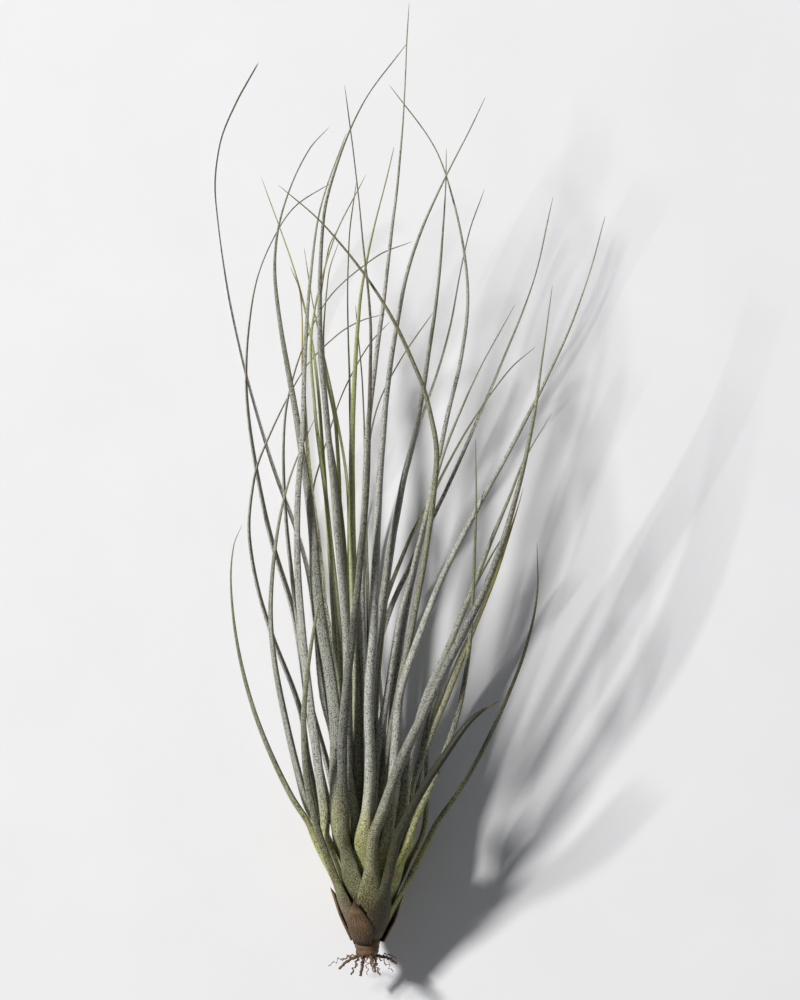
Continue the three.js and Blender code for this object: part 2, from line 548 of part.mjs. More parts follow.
function fromSolid(solid) {
  const mesh = solid.getMesh();
  const geometry = new THREE.BufferGeometry();
  geometry.setAttribute('position', new THREE.BufferAttribute(mesh.vertProperties, 3));
  geometry.setIndex(new THREE.BufferAttribute(mesh.triVerts, 1));
  return geometry;
}

// A short woody stem that narrows to its growing top, with wiry roots on its broken lower end.
function stemGeometry() {
  const profile = [[0, 0], [STUB_RADIUS, 0], [STUB_SHOULDER_RADIUS, STUB_SHOULDER]];
  for (let y = STEM_FROM; y < STEM_TOP - BUD_HEIGHT; y += STEM_STEP) {
    profile.push([STEM_RADIUS - STEM_TAPER * y, y]);
  }
  profile.push([BUD_RADIUS, STEM_TOP - BUD_HEIGHT], [0, STEM_TOP]);
  const stem = new THREE.LatheGeometry(profile.map(([r, y]) => new THREE.Vector2(r, y)), STEM_SIDES);
  stem.rotateX(Math.atan(AXIS_RISE));
  stem.rotateZ(-Math.atan(AXIS_DRIFT));
  stem.translate(AXIS_X, 0, axisHeight(0));
  let solid = toSolid(stem);
  for (const { turn, reach, drop } of roots) {
    const angle = THREE.MathUtils.degToRad(turn);
    const place = (out, down) => new THREE.Vector3(
      AXIS_X + out * Math.sin(angle),
      ROOT_HEIGHT - down,
      axisHeight(0) + out * Math.cos(angle),
    );
    const path = new THREE.CatmullRomCurve3([
      place(ROOT_SINK, 0),
      place(ROOT_ELBOW_REACH, ROOT_ELBOW_DROP),
      place(reach * ROOT_BEND_REACH, drop * ROOT_BEND_DROP),
      place(reach, drop),
    ]);
    const section = new THREE.Shape();
    section.absarc(0, 0, ROOT_RADIUS, 0, 2 * Math.PI);
    const root = new THREE.ExtrudeGeometry(section, {
      steps: ROOT_STEPS, curveSegments: ROOT_SIDES, extrudePath: path, bevelEnabled: false,
    });
    solid = solid.add(toSolid(root));
  }
  return fromSolid(solid);
}

function addPiece(plant, name, geometry, tone) {
  const material = new THREE.MeshStandardMaterial({ color: toneColours[tone], roughness: 0.8 });
  geometry.computeVertexNormals();
  const piece = new THREE.Mesh(geometry, material);
  piece.name = name;
  plant.add(piece);
}

const leaves = leafRuns.map((spec, rank) => layOutLeaf(spec, rank));
const sheaths = drySheaths.map((spec, index) => layOutLeaf(spec, -1 - index));
leaves.forEach(sampleLevels);
sheaths.forEach(sampleLevels);
bendClear(leaves);

const plant = new THREE.Group();
addPiece(plant, 'stem', stemGeometry(), 'wood');
[...leaves, ...sheaths].forEach((leaf) => addPiece(plant, leaf.name, leafGeometry(leaf), leaf.tone));
plant.position.set(-ORIGIN_X, -ORIGIN_Y, 0);

export default plant;
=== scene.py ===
import math

import bpy
import numpy as np
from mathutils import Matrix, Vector


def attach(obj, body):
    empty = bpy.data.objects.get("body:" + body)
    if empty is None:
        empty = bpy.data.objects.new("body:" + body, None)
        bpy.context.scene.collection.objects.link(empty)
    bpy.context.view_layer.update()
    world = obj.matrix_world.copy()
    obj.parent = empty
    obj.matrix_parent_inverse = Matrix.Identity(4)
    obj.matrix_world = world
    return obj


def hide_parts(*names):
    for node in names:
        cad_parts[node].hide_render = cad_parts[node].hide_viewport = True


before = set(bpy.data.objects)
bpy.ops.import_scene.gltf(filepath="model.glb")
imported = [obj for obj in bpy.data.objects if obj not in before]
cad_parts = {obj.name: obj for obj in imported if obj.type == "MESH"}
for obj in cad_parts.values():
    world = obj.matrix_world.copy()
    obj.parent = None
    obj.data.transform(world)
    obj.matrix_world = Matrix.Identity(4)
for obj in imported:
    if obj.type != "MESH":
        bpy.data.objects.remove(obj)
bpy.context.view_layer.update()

MM = 0.001

# The crown, a cone of sheaths round the stem's axis, and the leaf spiral, as in the solids.
AXIS_X = -1.2
AXIS_DRIFT = 0.025
AXIS_HEIGHT = 11.8
AXIS_HEIGHT_Y = 16
AXIS_RISE = 0.12
CROWN_RADIUS = 1.7
CROWN_SPREAD = 0.475
CROWN_TOP = 25
CROWN_POINTS = 4
FIRST_TURN = math.radians(29)
GOLDEN_TURN = math.radians(137.5)
MOST_TWIST = math.radians(8)
LAYER = 0.2
FIRST_ATTACH = 3.9
ATTACH_STEP = 0.354
OUTER_RADIUS = 12.75
LEAN_POWER = 1.2
OUTWARD_BOW = 4
ORIGIN = np.array([7.4, 96.2, 0])

# The sheath and the rod of the solids' leaves.
SHEATH_HALF_TURN = 0.34
SHEATH_WIDTH = 5
SHEATH_THICK = 0.7
FADE_LOWEST = 2.5
FADE_RISE = 1.6
FADE_HIGHEST = 18
FADE_SHARE = 0.75
ROD_THICK = 0.5
ROD_ARCH = 0.4
SOLID_LEAST_WIDTH = 0.75
SOLID_LEAST_THICK = 0.7

# How leaves that cross bend clear of each other, at levels along Y.
LEVEL_STEP = 2
LEVEL_COUNT = 100
LEVEL_SAMPLES = 240
CLEAR_GAP = 0.5
CLEAR_FROM = 24
CLEAR_RAMP = 6
CLEAR_ROUNDS = 400
CLEAR_SHARE = 0.45
SHIFT_EASE = 0.15
FLOOR_PRESS = 0.3
TANGENT_STEP = 0.002

# The finer leaves: thinner sheaths that wrap further round the stem low down, rounder rods and tips
# that run out to a hair's width.
WRAP_HALF_TURN = 0.66
WRAP_FULL = 7
WRAP_END = 19
WRAP_WIDTH = 5.6
FINE_SHEATH_THICK = 0.46
FINE_ROD_THICK = 0.56
FINE_LEAST_WIDTH = 0.26
FINE_LEAST_THICK = 0.22
TIP_TAPER = 6
LAST_RING = 0.4
AROUND = 22
RING_STEP = 1.3
WIDTH_WAVE = 0.04
WIDTH_WAVE_LENGTH = 23
WIDTH_WAVE_SEED = 700
SIDE_WAVE = 0.1
SIDE_WAVE_LENGTH = 34
SIDE_WAVE_SEED = 900
SIDE_WAVE_RISE = 20
INNER_SHARPNESS = 3

# Small unevenness is a sum of three sines, with these shares of its longest length and its height.
# Where a wave has two numbers, they are that length and its seed.
WAVE_LENGTHS = np.array([1, 0.61, 0.37])
WAVE_HEIGHTS = np.array([0.55, 0.3, 0.15])

# Each leaf, oldest first: name, rod width, how the width falls to the tip, where the tip aims over
# the surface, colour group, and the run of its middle line above the crown, seen from above.
LEAF_RUNS = [
    # This leaf's dried colours are darkened with painted shade as well.
    ("leaf_01_front_right_dried", 2.5, 0.34, 34, "dried",
     [(7, 28.4), (9.6, 33.4), (13.6, 40), (19.2, 48), (22.6, 51.2), (26.2, 53.2)]),
    ("leaf_02_back_low", 2.2, 0.8, 5, "silver",
     [(1.6, 37), (1.2, 49), (0.2, 65), (0.6, 77), (1, 89), (1.4, 101)]),
    ("leaf_03_front_left", 2.2, 0.55, 40, "purple",
     [(-12, 28), (-13.8, 37), (-14.4, 48), (-13.8, 57), (-12.4, 67), (-11.3, 72.6), (-9.6, 77.4)]),
    ("leaf_04_right_outer", 1.9, 0.6, 26, "olive",
     [(13.2, 27.6), (18, 34.6), (23, 43.4), (27.6, 53.4), (31.4, 63.4), (33.8, 74.6), (33.8, 85.8)]),
    ("leaf_05_left_long_hook", 1.7, 1.2, -3, "silver",
     [(-8.6, 45), (-10.8, 54), (-12.4, 72), (-15, 84.6), (-22.2, 105.6), (-28.4, 129), (-32.6, 156),
      (-31.8, 167.8), (-28.4, 176.6), (-23.8, 185)]),
    ("leaf_06_front_arching", 2.9, 0.9, 40, "purple",
     [(2, 30), (5.6, 40), (8, 45.4), (13.4, 56.6), (19.6, 69), (25, 81), (29, 93.4), (32, 106), (35.2, 126),
      (36.8, 138.6)]),
    ("leaf_07_back_right_low", 2, 0.7, 0, "silver",
     [(9.6, 37), (11.6, 48), (14.6, 58), (18.8, 67.4), (22.4, 75), (25.6, 82.8)]),
    ("leaf_08_far_left_short", 2.2, 0.7, 30, "olive",
     [(-13.3, 27.5), (-16.8, 33), (-21.4, 42.6), (-25.2, 53), (-28, 65), (-29.2, 77), (-28.6, 85),
      (-26.8, 89.4)]),
    ("leaf_09_right_upright", 1.9, 0.8, 34, "olive",
     [(9.4, 29.4), (12.6, 36.4), (17, 48), (19.3, 59), (20.4, 69), (21.2, 89), (21.2, 107)]),
    ("leaf_10_back_left_low", 2.2, 0.7, 2, "silver",
     [(-6, 37), (-6.2, 50), (-5, 64), (-3.8, 77), (-2.6, 87), (-2, 96)]),
    ("leaf_11_front_centre_left", 2.7, 1.2, 46, "purple",
     [(-6.2, 30), (-6.6, 38), (-6.2, 50), (-4.4, 67), (-2.6, 83), (-1.4, 97), (-0.8, 113), (-0.5, 129),
      (-1.6, 143), (-3.2, 159), (-5.8, 179.4)]),
    ("leaf_12_right_thin_olive", 1.6, 0.45, 16, "olive",
     [(11.2, 31), (11.2, 41), (12, 53), (14.8, 61), (18, 69), (21, 76.4), (27.6, 88.4)]),
    ("leaf_13_left_wide_hook", 1.8, 0.85, 22, "silver",
     [(-13.6, 41), (-15.2, 51), (-21, 66.6), (-23.8, 76), (-25.6, 87), (-25.2, 95), (-23.2, 103.4),
      (-14.4, 121), (-7.4, 128.4), (-2.4, 131.4), (2.8, 132.8)]),
    ("leaf_14_far_right", 2.5, 0.95, 34, "silver",
     [(3.9, 31), (5, 46), (6.2, 56), (13.1, 75.4), (17.9, 85.6), (29.4, 107), (35.4, 118.4), (41, 131),
      (44.8, 142), (47.8, 152.8)]),
    ("leaf_15_right_pale", 1.9, 0.9, 15, "silver",
     [(2.4, 37), (0.2, 58), (3.4, 71), (8.4, 82), (17, 100.4), (26, 121), (31.2, 134), (34.4, 144),
      (37.2, 157)]),
    ("leaf_16_left_thick", 2.7, 0.8, 40, "silver",
     [(-10.2, 29), (-11.5, 39), (-13, 51), (-14.6, 65), (-15.7, 81), (-15.6, 95), (-14.6, 109), (-14, 125),
      (-13, 139), (-10.8, 154), (-5.4, 169.8)]),
    ("leaf_17_right_brown_tip", 2, 0.6, 27, "browned",
     [(7.8, 33), (11.2, 43.4), (16.1, 55.4), (20.6, 67), (25.4, 79), (28.9, 89.6), (31, 97)]),
    ("leaf_18_low_crossing_right", 2, 1.3, 18, "olive",
     [(-7.4, 37), (-9.6, 53), (-12, 69), (-13, 83), (-12.4, 96), (-10.9, 102), (-7.2, 114), (-4.4, 120.4),
      (-0.4, 127), (3.6, 131.2)]),
    ("leaf_19_centre_thick", 2.7, 0.85, 36, "silver",
     [(-1.3, 30), (-0.7, 37), (-0.8, 53), (0, 69), (0.8, 87), (1.6, 103), (3, 117), (4.8, 130), (7.6, 143),
      (12, 154.4), (23.2, 177.2)]),
    ("leaf_20_back_right_short", 1.8, 0.6, 8, "silver",
     [(8.8, 37), (11.6, 46), (15.2, 56), (18, 62.6), (21, 69)]),
    ("leaf_21_left_bowed", 2.5, 0.75, 26, "silver",
     [(-13.2, 30), (-15.6, 38), (-18.4, 50), (-20.4, 61), (-21.2, 71), (-20.4, 83), (-18.6, 93.6),
      (-16, 102), (-11, 113.2)]),
    ("leaf_22_front_right_inner", 2.5, 0.75, 31, "silver",
     [(6.2, 29), (7.6, 40), (11, 53), (14.8, 62), (18.8, 71.4), (24.1, 85), (28.2, 95),
      (31, 102.4), (36.9, 112.3)]),
    ("leaf_23_back_centre_short", 2, 0.6, 12, "silver",
     [(-1.2, 37), (-1.6, 53), (-2.2, 69), (-1.8, 85), (-1.4, 97)]),
    ("leaf_24_left_broad", 3.8, 1, 30, "silver",
     [(-8, 37), (-8, 46), (-9, 57), (-11, 69), (-11.9, 77), (-13.2, 93), (-16.4, 114),
      (-20, 137), (-19.9, 148), (-17.4, 157.4), (-13, 166.5), (-8.9, 171.1)]),
    ("leaf_25_right_side_short", 1.8, 0.6, 17, "silver",
     [(6.2, 37), (5.4, 47), (6.6, 58), (9.2, 67), (12.8, 76), (16.6, 84)]),
    ("leaf_26_left_high_hook", 2.1, 0.95, 16, "silver",
     [(-10, 33), (-12.8, 47), (-16.6, 71), (-21.6, 88), (-25.2, 107), (-26.2, 119), (-25.8, 129),
      (-24, 139.6), (-20.4, 148.6), (-16, 155), (-8.6, 159.8)]),
    ("leaf_27_centre_to_right", 2.2, 0.9, 26, "silver",
     [(0, 31), (0.8, 41), (2.6, 52), (5.4, 69), (8, 79), (13.6, 101), (17.4, 111), (21.8, 121),
      (29.2, 134.6)]),
    ("leaf_28_right_dark", 1.8, 0.8, 12, "olive",
     [(1.6, 37), (0.4, 54), (1.8, 70), (7.2, 85), (11, 92.6), (15.1, 101), (20, 109.6), (28, 121),
      (33.6, 126)]),
    ("leaf_29_green_left", 2.2, 0.8, 24, "green",
     [(-7.2, 37), (-7.2, 51), (-8.6, 77), (-10.2, 101), (-12, 123), (-15.8, 140.4), (-23, 161)]),
    ("leaf_30_right_s_curve", 2, 0.8, 34, "silver",
     [(4, 37), (4, 46), (6.6, 69), (11.6, 93), (15.6, 112), (18.4, 124), (19.6, 135), (18.8, 145.8),
      (16.6, 156), (12.6, 167), (3.4, 179.6)]),
    ("leaf_31_fine_centre", 1.3, 0.9, 22, "olive",
     [(-3.2, 41), (-4.4, 57), (-5, 73), (-4.8, 89), (-4.6, 105), (-5, 125), (-5, 147), (-3.4, 160)]),
    ("leaf_32_thick_leaning_right", 2.4, 0.8, 42, "silver",
     [(-4, 30), (-5.4, 39), (-5.6, 67), (-6.8, 81), (-9.7, 113), (-11, 129), (-10, 153), (-6.8, 165),
      (-1.4, 176.6), (7.2, 188.2)]),
    ("leaf_33_inner_right_short", 1.8, 0.6, 15, "silver",
     [(2.4, 37), (2.6, 49), (4, 59), (6, 68), (8, 77), (9.8, 84)]),
    ("leaf_34_left_to_right_arch", 1.8, 0.9, 24, "silver",
     [(-9.4, 39), (-13.2, 53), (-16.6, 77), (-18.4, 97), (-17.4, 116), (-10.2, 134.4), (0.6, 144.4),
      (8.2, 147.6)]),
    ("leaf_35_front_long_s", 1.9, 0.6, 44, "olive",
     [(2, 36), (4.6, 50), (8.6, 71), (10.6, 81), (12.4, 94), (13.2, 103), (12.6, 109), (9.8, 119.4),
      (1.2, 136.4), (-9.4, 150.2), (-19.4, 159)]),
    ("leaf_36_right_arc", 1.7, 0.9, 20, "silver",
     [(-0.6, 45), (0.2, 59), (3.8, 85), (8.8, 107), (15.2, 127), (19.8, 149.4), (23, 158.6)]),
    ("leaf_37_green_bowed_left", 1.8, 0.8, 26, "green",
     [(-6, 45), (-7.4, 71), (-9.6, 93), (-12, 113), (-12.6, 130), (-8, 148), (-1.4, 161.4)]),
    ("leaf_38_inner_right_upright", 1.7, 0.6, 22, "silver",
     [(5.2, 41), (6, 55), (7.2, 65), (9.4, 75), (11, 84), (12.4, 93)]),
    ("leaf_39_green_crossing", 2, 0.8, 22, "green",
     [(-5.6, 39), (-5.4, 57), (-6.8, 85), (-7.7, 109), (-10.2, 124), (-9.2, 140.6), (-7, 147.4)]),
    ("leaf_40_centre_right_thick", 2.4, 0.8, 34, "silver",
     [(-1, 37), (-0.8, 49), (1.8, 73), (6, 97), (8.8, 109), (13, 135), (15, 159), (15.2, 166.6)]),
    ("leaf_41_short_hook_right", 1.4, 0.9, 22, "olive",
     [(0, 39), (-0.8, 69), (-1.2, 99), (0.6, 112.4), (5.6, 123), (12.8, 133.4)]),
    ("leaf_42_green_centre", 1.9, 0.8, 20, "green",
     [(-4, 41), (-5, 73), (-5.2, 96), (-7.8, 113), (-12.2, 134), (-14.2, 146.6)]),
    ("leaf_43_inner_upright", 1.5, 0.9, 28, "olive",
     [(1.4, 37), (0.4, 49), (-1.8, 65), (-2.4, 77), (-1.6, 101), (-2, 117), (-3.6, 134.6)]),
    ("leaf_44_fine_left_clump_tip", 2.2, 0.85, 18, "browned",
     [(-3, 37), (-6, 53), (-9.8, 71), (-10.9, 83), (-12.8, 97), (-14.4, 121), (-15, 137),
      (-17, 142.6)]),
    ("leaf_45_green_inner_long", 2.7, 0.9, 34, "green",
     [(-3.4, 41), (-3.6, 58), (-4.2, 75), (-4.5, 103), (-3, 133), (-1.2, 144), (4.4, 167)]),
    ("leaf_46_inner_short", 1.5, 0.6, 20, "green",
     [(0.6, 37), (1, 53), (2.2, 67), (3.6, 79), (5, 88)]),
    ("leaf_47_green_inner_left", 1.7, 0.8, 26, "green",
     [(-3, 39), (-5.2, 69), (-6.8, 93), (-10.6, 118), (-11.2, 129), (-9.2, 146), (-6.8, 151)]),
    ("leaf_48_tallest", 2.1, 0.9, 40, "silver",
     [(-1.2, 39), (-1.2, 49), (-2.2, 73), (-1.2, 105), (0.4, 121), (3.8, 148), (6.2, 172),
      (7.4, 196.4)]),
]

# Dry brown remains of older leaves: name, width, how it falls to the tip, and the tip's height.
DRY_SHEATHS = [
    ("dry_sheath_1", 3.8, 0.4, 14.5),
    ("dry_sheath_2", 3.6, 0.4, 13),
    ("dry_sheath_3", 3.4, 0.4, 12),
    ("dry_sheath_4", 3.2, 0.4, 11),
]
DRY_TIP_Z = 8


def smooth_step(value):
    """A ramp from 0 to 1 that leaves and arrives level: 3t² - 2t³."""
    t = np.clip(value, 0, 1)
    return t * t * (3 - 2 * t)


def blend(start, end, share):
    return start + (end - start) * share


def axis_x(y):
    return AXIS_X + AXIS_DRIFT * y


def axis_height(y):
    return AXIS_HEIGHT + AXIS_RISE * (y - AXIS_HEIGHT_Y)


def unit(vectors):
    return vectors / np.linalg.norm(vectors, axis=-1, keepdims=True)


def hermite(points, slopes, i, t, span=1):
    """The cubic Hermite curve between point i and the next, at share t of the span between them."""
    return (
        points[i] * (2 * t ** 3 - 3 * t ** 2 + 1)
        + slopes[i] * (t ** 3 - 2 * t ** 2 + t) * span
        + points[i + 1] * (3 * t ** 2 - 2 * t ** 3)
        + slopes[i + 1] * (t ** 3 - t ** 2) * span
    )


def wave(place, length, seed):
    """A smooth seeded wave between about -1 and 1: three sines of uneven length and random phase."""
    phases = np.random.default_rng(seed).uniform(0, 2 * math.pi, 3)
    turns = np.asarray(place)[..., None] / (length * WAVE_LENGTHS)
    return (WAVE_HEIGHTS * np.sin(2 * math.pi * turns + phases)).sum(-1)


class Leaf:
    """A leaf's middle line and section. The line leaves the crown's cone at the leaf's place in the
    spiral and runs on through the points of its run."""

    def __init__(self, name, wide, fall, tip_z, tone, run, rank, tip_y):
        self.name = name
        self.wide = wide
        self.fall = fall
        self.tone = tone
        self.rank = rank
        self.tip_y = tip_y
        self.turn = FIRST_TURN + rank * GOLDEN_TURN + self.twist(run)
        self.attach_y = FIRST_ATTACH + rank * ATTACH_STEP
        self.outward = np.array([math.sin(self.turn), 0, math.cos(self.turn)])
        crown_y = np.linspace(self.attach_y, min(CROWN_TOP, tip_y), CROWN_POINTS)
        radius = self.radius_at(crown_y)
        in_crown = np.stack([
            axis_x(crown_y) + radius * math.sin(self.turn),
            crown_y,
            axis_height(crown_y) + radius * math.cos(self.turn),
        ], axis=1)
        self.set_points(np.vstack([in_crown, self.free_points(run, tip_z)]))
        self.shift = np.zeros(LEVEL_COUNT)
        self.sample_levels()

    def twist(self, run):
        """How far the sheath turns from its golden angle, to where its run sets out."""
        if not run:
            return 0
        (first_x, first_y), (next_x, next_y) = run[:2]
        aim = first_x - (next_x - first_x) / (next_y - first_y) * (first_y - CROWN_TOP)
        golden = FIRST_TURN + self.rank * GOLDEN_TURN
        off = (aim - axis_x(CROWN_TOP)) / self.radius_at(CROWN_TOP) - math.sin(golden)
        return max(-MOST_TWIST, min(MOST_TWIST, off * math.cos(golden)))

    def radius_at(self, y):
        """The cone's radius at y, less the layers of the older leaves outside this one."""
        return CROWN_RADIUS + CROWN_SPREAD * y - SHEATH_THICK / 2 - self.rank * LAYER

    def free_points(self, run, tip_z):
        """The run's points, with a height that leans from the crown to the tip and bows outward."""
        if not run:
            return np.zeros((0, 3))
        x, y = np.array(run, float).T
        share = (y - CROWN_TOP) / (self.tip_y - CROWN_TOP)
        top_radius = self.radius_at(CROWN_TOP)
        top_offset = top_radius * math.cos(self.turn)
        tip_offset = tip_z - axis_height(self.tip_y)
        lean = top_offset + (tip_offset - top_offset) * share ** LEAN_POWER
        bow = OUTWARD_BOW * math.cos(self.turn) * (top_radius / OUTER_RADIUS) ** 2
        return np.stack([x, y, axis_height(y) + lean + bow * 4 * share * (1 - share)], axis=1)

    def set_points(self, points):
        """Keeps the points, the lengths of chord up to each, and the slopes between neighbours."""
        chords = np.linalg.norm(np.diff(points, axis=0), axis=1)
        self.points = points
        self.knots = np.concatenate([[0], np.cumsum(chords)])
        self.total = self.knots[-1]
        before = np.maximum(np.arange(len(points)) - 1, 0)
        after = np.minimum(np.arange(len(points)) + 1, len(points) - 1)
        spans = self.knots[after] - self.knots[before]
        self.slopes = (points[after] - points[before]) / spans[:, None]

    def middle(self, share):
        """The cubic Hermite curve through the points, at shares of its length."""
        along = np.asarray(share, float) * self.total
        i = np.clip(np.searchsorted(self.knots[1:], along), 0, len(self.points) - 2)
        span = (self.knots[i + 1] - self.knots[i])[..., None]
        t = (along - self.knots[i])[..., None] / span
        return hermite(self.points, self.slopes, i, t, span)

    def section(self, y, sheath_thick, rod_thick, least_width, least_thick, wrap=0):
        """Width, thickness and arch at y: a curved sheath low down that turns into a channelled rod.
        With wrap 1 the sheath's lower part goes further round the stem."""
        to_tip = np.clip((self.tip_y - y) / (self.tip_y - self.attach_y), 0, 1)
        rod_width = np.maximum(least_width, self.wide * to_tip ** self.fall)
        thick_here = np.maximum(least_thick, rod_thick * rod_width)
        fade_start = min(FADE_HIGHEST, FADE_LOWEST + FADE_RISE * self.attach_y)
        rod_share = smooth_step((y / fade_start - 1) / FADE_SHARE)
        radius = self.radius_at(np.minimum(y, CROWN_TOP))
        wrapped = wrap * (1 - smooth_step((y - WRAP_FULL) / (WRAP_END - WRAP_FULL)))
        half_turn = blend(SHEATH_HALF_TURN, WRAP_HALF_TURN, wrapped)
        widest = blend(SHEATH_WIDTH, WRAP_WIDTH, wrapped)
        sheath_width = np.minimum(widest, 2 * radius * np.sin(half_turn))
        sheath_arch = radius - np.sqrt(radius ** 2 - (sheath_width / 2) ** 2)
        return (
            blend(sheath_width, rod_width, rod_share),
            blend(sheath_thick, thick_here, rod_share ** 2),
            blend(sheath_arch, ROD_ARCH * rod_width, rod_share ** 2),
        )

    def sample_levels(self):
        """Where the leaf crosses each level along Y, and its half sizes there across and up."""
        samples = self.middle(np.linspace(0, 1, LEVEL_SAMPLES + 1))
        y = np.arange(LEVEL_COUNT) * LEVEL_STEP
        self.reached = (y >= samples[0, 1]) & (y <= samples[-1, 1])
        after = np.clip(np.searchsorted(samples[:, 1], y), 1, LEVEL_SAMPLES)
        low = samples[after - 1]
        step = samples[after] - low
        middle = low + step * ((y - low[:, 1]) / step[:, 1])[:, None]
        width, thick, arch = self.section(
            y, SHEATH_THICK, ROD_THICK, SOLID_LEAST_WIDTH, SOLID_LEAST_THICK)
        half_depth = (thick / 2 + arch) / 2
        slant = np.hypot(1, step[:, 0] / step[:, 1])
        self.level_x = middle[:, 0]
        self.level_z = middle[:, 2]
        self.across = slant * np.hypot(width / 2 * self.outward[2], half_depth * self.outward[0])
        self.up = np.hypot(width / 2 * self.outward[0], half_depth * self.outward[2])

    def shift_at(self, y):
        """The shift up at y, on a Catmull-Rom curve through the levels' shifts. Past the leaf's
        first or last level the nearest value holds."""
        level = np.floor(y / LEVEL_STEP).astype(int)
        t = y / LEVEL_STEP - level

        def at(index):
            return np.clip(index, 0, LEVEL_COUNT - 1)

        nearest = np.where(self.reached[at(level)], level, level + 1)

        def near(index):
            inside = (index >= 0) & (index < LEVEL_COUNT) & self.reached[at(index)]
            return self.shift[at(np.where(inside, index, nearest))]

        p0, p1, p2, p3 = (near(level + k) for k in (-1, 0, 1, 2))
        first_power = (p2 - p0) / 2
        square = p0 - 2.5 * p1 + 2 * p2 - 0.5 * p3
        cube = 1.5 * (p1 - p2) + (p3 - p0) / 2
        return p1 + t * (first_power + t * (square + t * cube))

    def clear_line(self, share):
        points = self.middle(share)
        points[:, 2] += self.shift_at(points[:, 1])
        return points


def find_crossings(leaves):
    """Every stretch of levels on which two leaves lie over each other, and which one is on top all
    along it: the one on top where they leave the crown, or else the higher one on the whole."""
    rows = []
    for first, one in enumerate(leaves):
        for second in range(first + 1, len(leaves)):
            other = leaves[second]
            across = (one.level_x - other.level_x) / (one.across + other.across + CLEAR_GAP)
            close = one.reached & other.reached & (np.abs(across) < 1)
            levels = np.flatnonzero(close)
            if not len(levels):
                continue
            between = one.level_z - other.level_z
            reach_up = (one.up + other.up + CLEAR_GAP) * np.sqrt(np.maximum(0, 1 - across ** 2))
            for stretch in np.split(levels, np.flatnonzero(np.diff(levels) > 1) + 1):
                from_crown = stretch[0] * LEVEL_STEP < CROWN_TOP
                higher = between[stretch[0]] if from_crown else between[stretch].sum()
                count = len(stretch)
                rows.append(np.stack([
                    np.full(count, first),
                    np.full(count, second),
                    stretch,
                    np.full(count, np.sign(higher)),
                    between[stretch],
                    reach_up[stretch],
                ]))
    return np.concatenate(rows, axis=1)


def bend_clear(leaves):
    """Leaves that come closer than the gap where they cross part from each other, one up and one
    down, little by little, and each shift is evened out along the leaf. None goes below z = 0."""
    first, second, level, way, between, reach_up = find_crossings(leaves)
    first, second, level = first.astype(int), second.astype(int), level.astype(int)
    reached = np.array([leaf.reached for leaf in leaves])
    lowest = np.array([leaf.up - FLOOR_PRESS - leaf.level_z for leaf in leaves])
    freedom = smooth_step((np.arange(LEVEL_COUNT) * LEVEL_STEP - CLEAR_FROM) / CLEAR_RAMP)
    bends = reached & (freedom > 0)
    below = np.pad(reached, ((0, 0), (1, 0)))[:, :-1]
    above = np.pad(reached, ((0, 0), (0, 1)))[:, 1:]

    def even_out(values):
        under = np.where(below, np.roll(values, 1, axis=1), values)
        over = np.where(above, np.roll(values, -1, axis=1), values)
        return (under + 2 * values + over) / 4

    shift = np.zeros(reached.shape)
    for _ in range(CLEAR_ROUNDS):
        missing = reach_up - way * (between + shift[first, level] - shift[second, level])
        step = way * np.maximum(0, missing) * CLEAR_SHARE
        push = np.zeros(reached.shape)
        np.add.at(push, (first, level), step)
        np.add.at(push, (second, level), -step)
        eased = blend(shift, even_out(shift), SHIFT_EASE)
        shift = np.where(bends, np.maximum(eased + even_out(push) * freedom, lowest), 0)
    for leaf, row in zip(leaves, shift):
        leaf.shift = row


def rings_along(path, aside, over, right, up):
    """Rings of points round a path: each point lies right times the way aside and up times the way
    over from its place on the path."""
    return (
        path[:, None, :]
        + aside[:, None, :] * right[..., None]
        + over[:, None, :] * up[..., None]
    )


def closed_tube(rings):
    """Quads that join each ring of points to the next, going round, and fans that close both ends
    on a middle point. Returns points, faces of four corners and faces of three."""
    count, around = rings.shape[:2]
    ends = rings[[0, -1]].mean(axis=1)
    points = np.concatenate([rings.reshape(-1, 3), ends])
    ring, side = np.meshgrid(np.arange(count - 1), np.arange(around), indexing="ij")
    here = ring * around + side
    there = ring * around + (side + 1) % around
    quads = np.stack([here, there, there + around, here + around], axis=-1).reshape(-1, 4)
    start = np.arange(around)
    following = (start + 1) % around
    last = (count - 1) * around
    first_end = np.full(around, count * around)
    first_fan = np.stack([following, start, first_end], axis=1)
    last_fan = np.stack([last + start, last + following, first_end + 1], axis=1)
    return points, quads, np.concatenate([first_fan, last_fan])


def tube_uv(quads, fans, around, u, v):
    """The map's place of each face corner: u runs round the ring without a jump, and v along."""
    side = quads[:, 0] % around
    ring = quads[:, 0] // around
    low = np.stack([u[side], v[ring]], axis=1)
    quad_uv = np.stack([
        low,
        np.stack([u[side + 1], v[ring]], axis=1),
        np.stack([u[side + 1], v[ring + 1]], axis=1),
        np.stack([u[side], v[ring + 1]], axis=1),
    ], axis=1)
    fan_v = np.where(np.arange(len(fans)) < around, v[0], v[-1])
    fan_uv = np.zeros((len(fans), 3, 2))
    fan_uv[..., 1] = fan_v[:, None]
    return np.concatenate([quad_uv.reshape(-1, 2), fan_uv.reshape(-1, 2)])


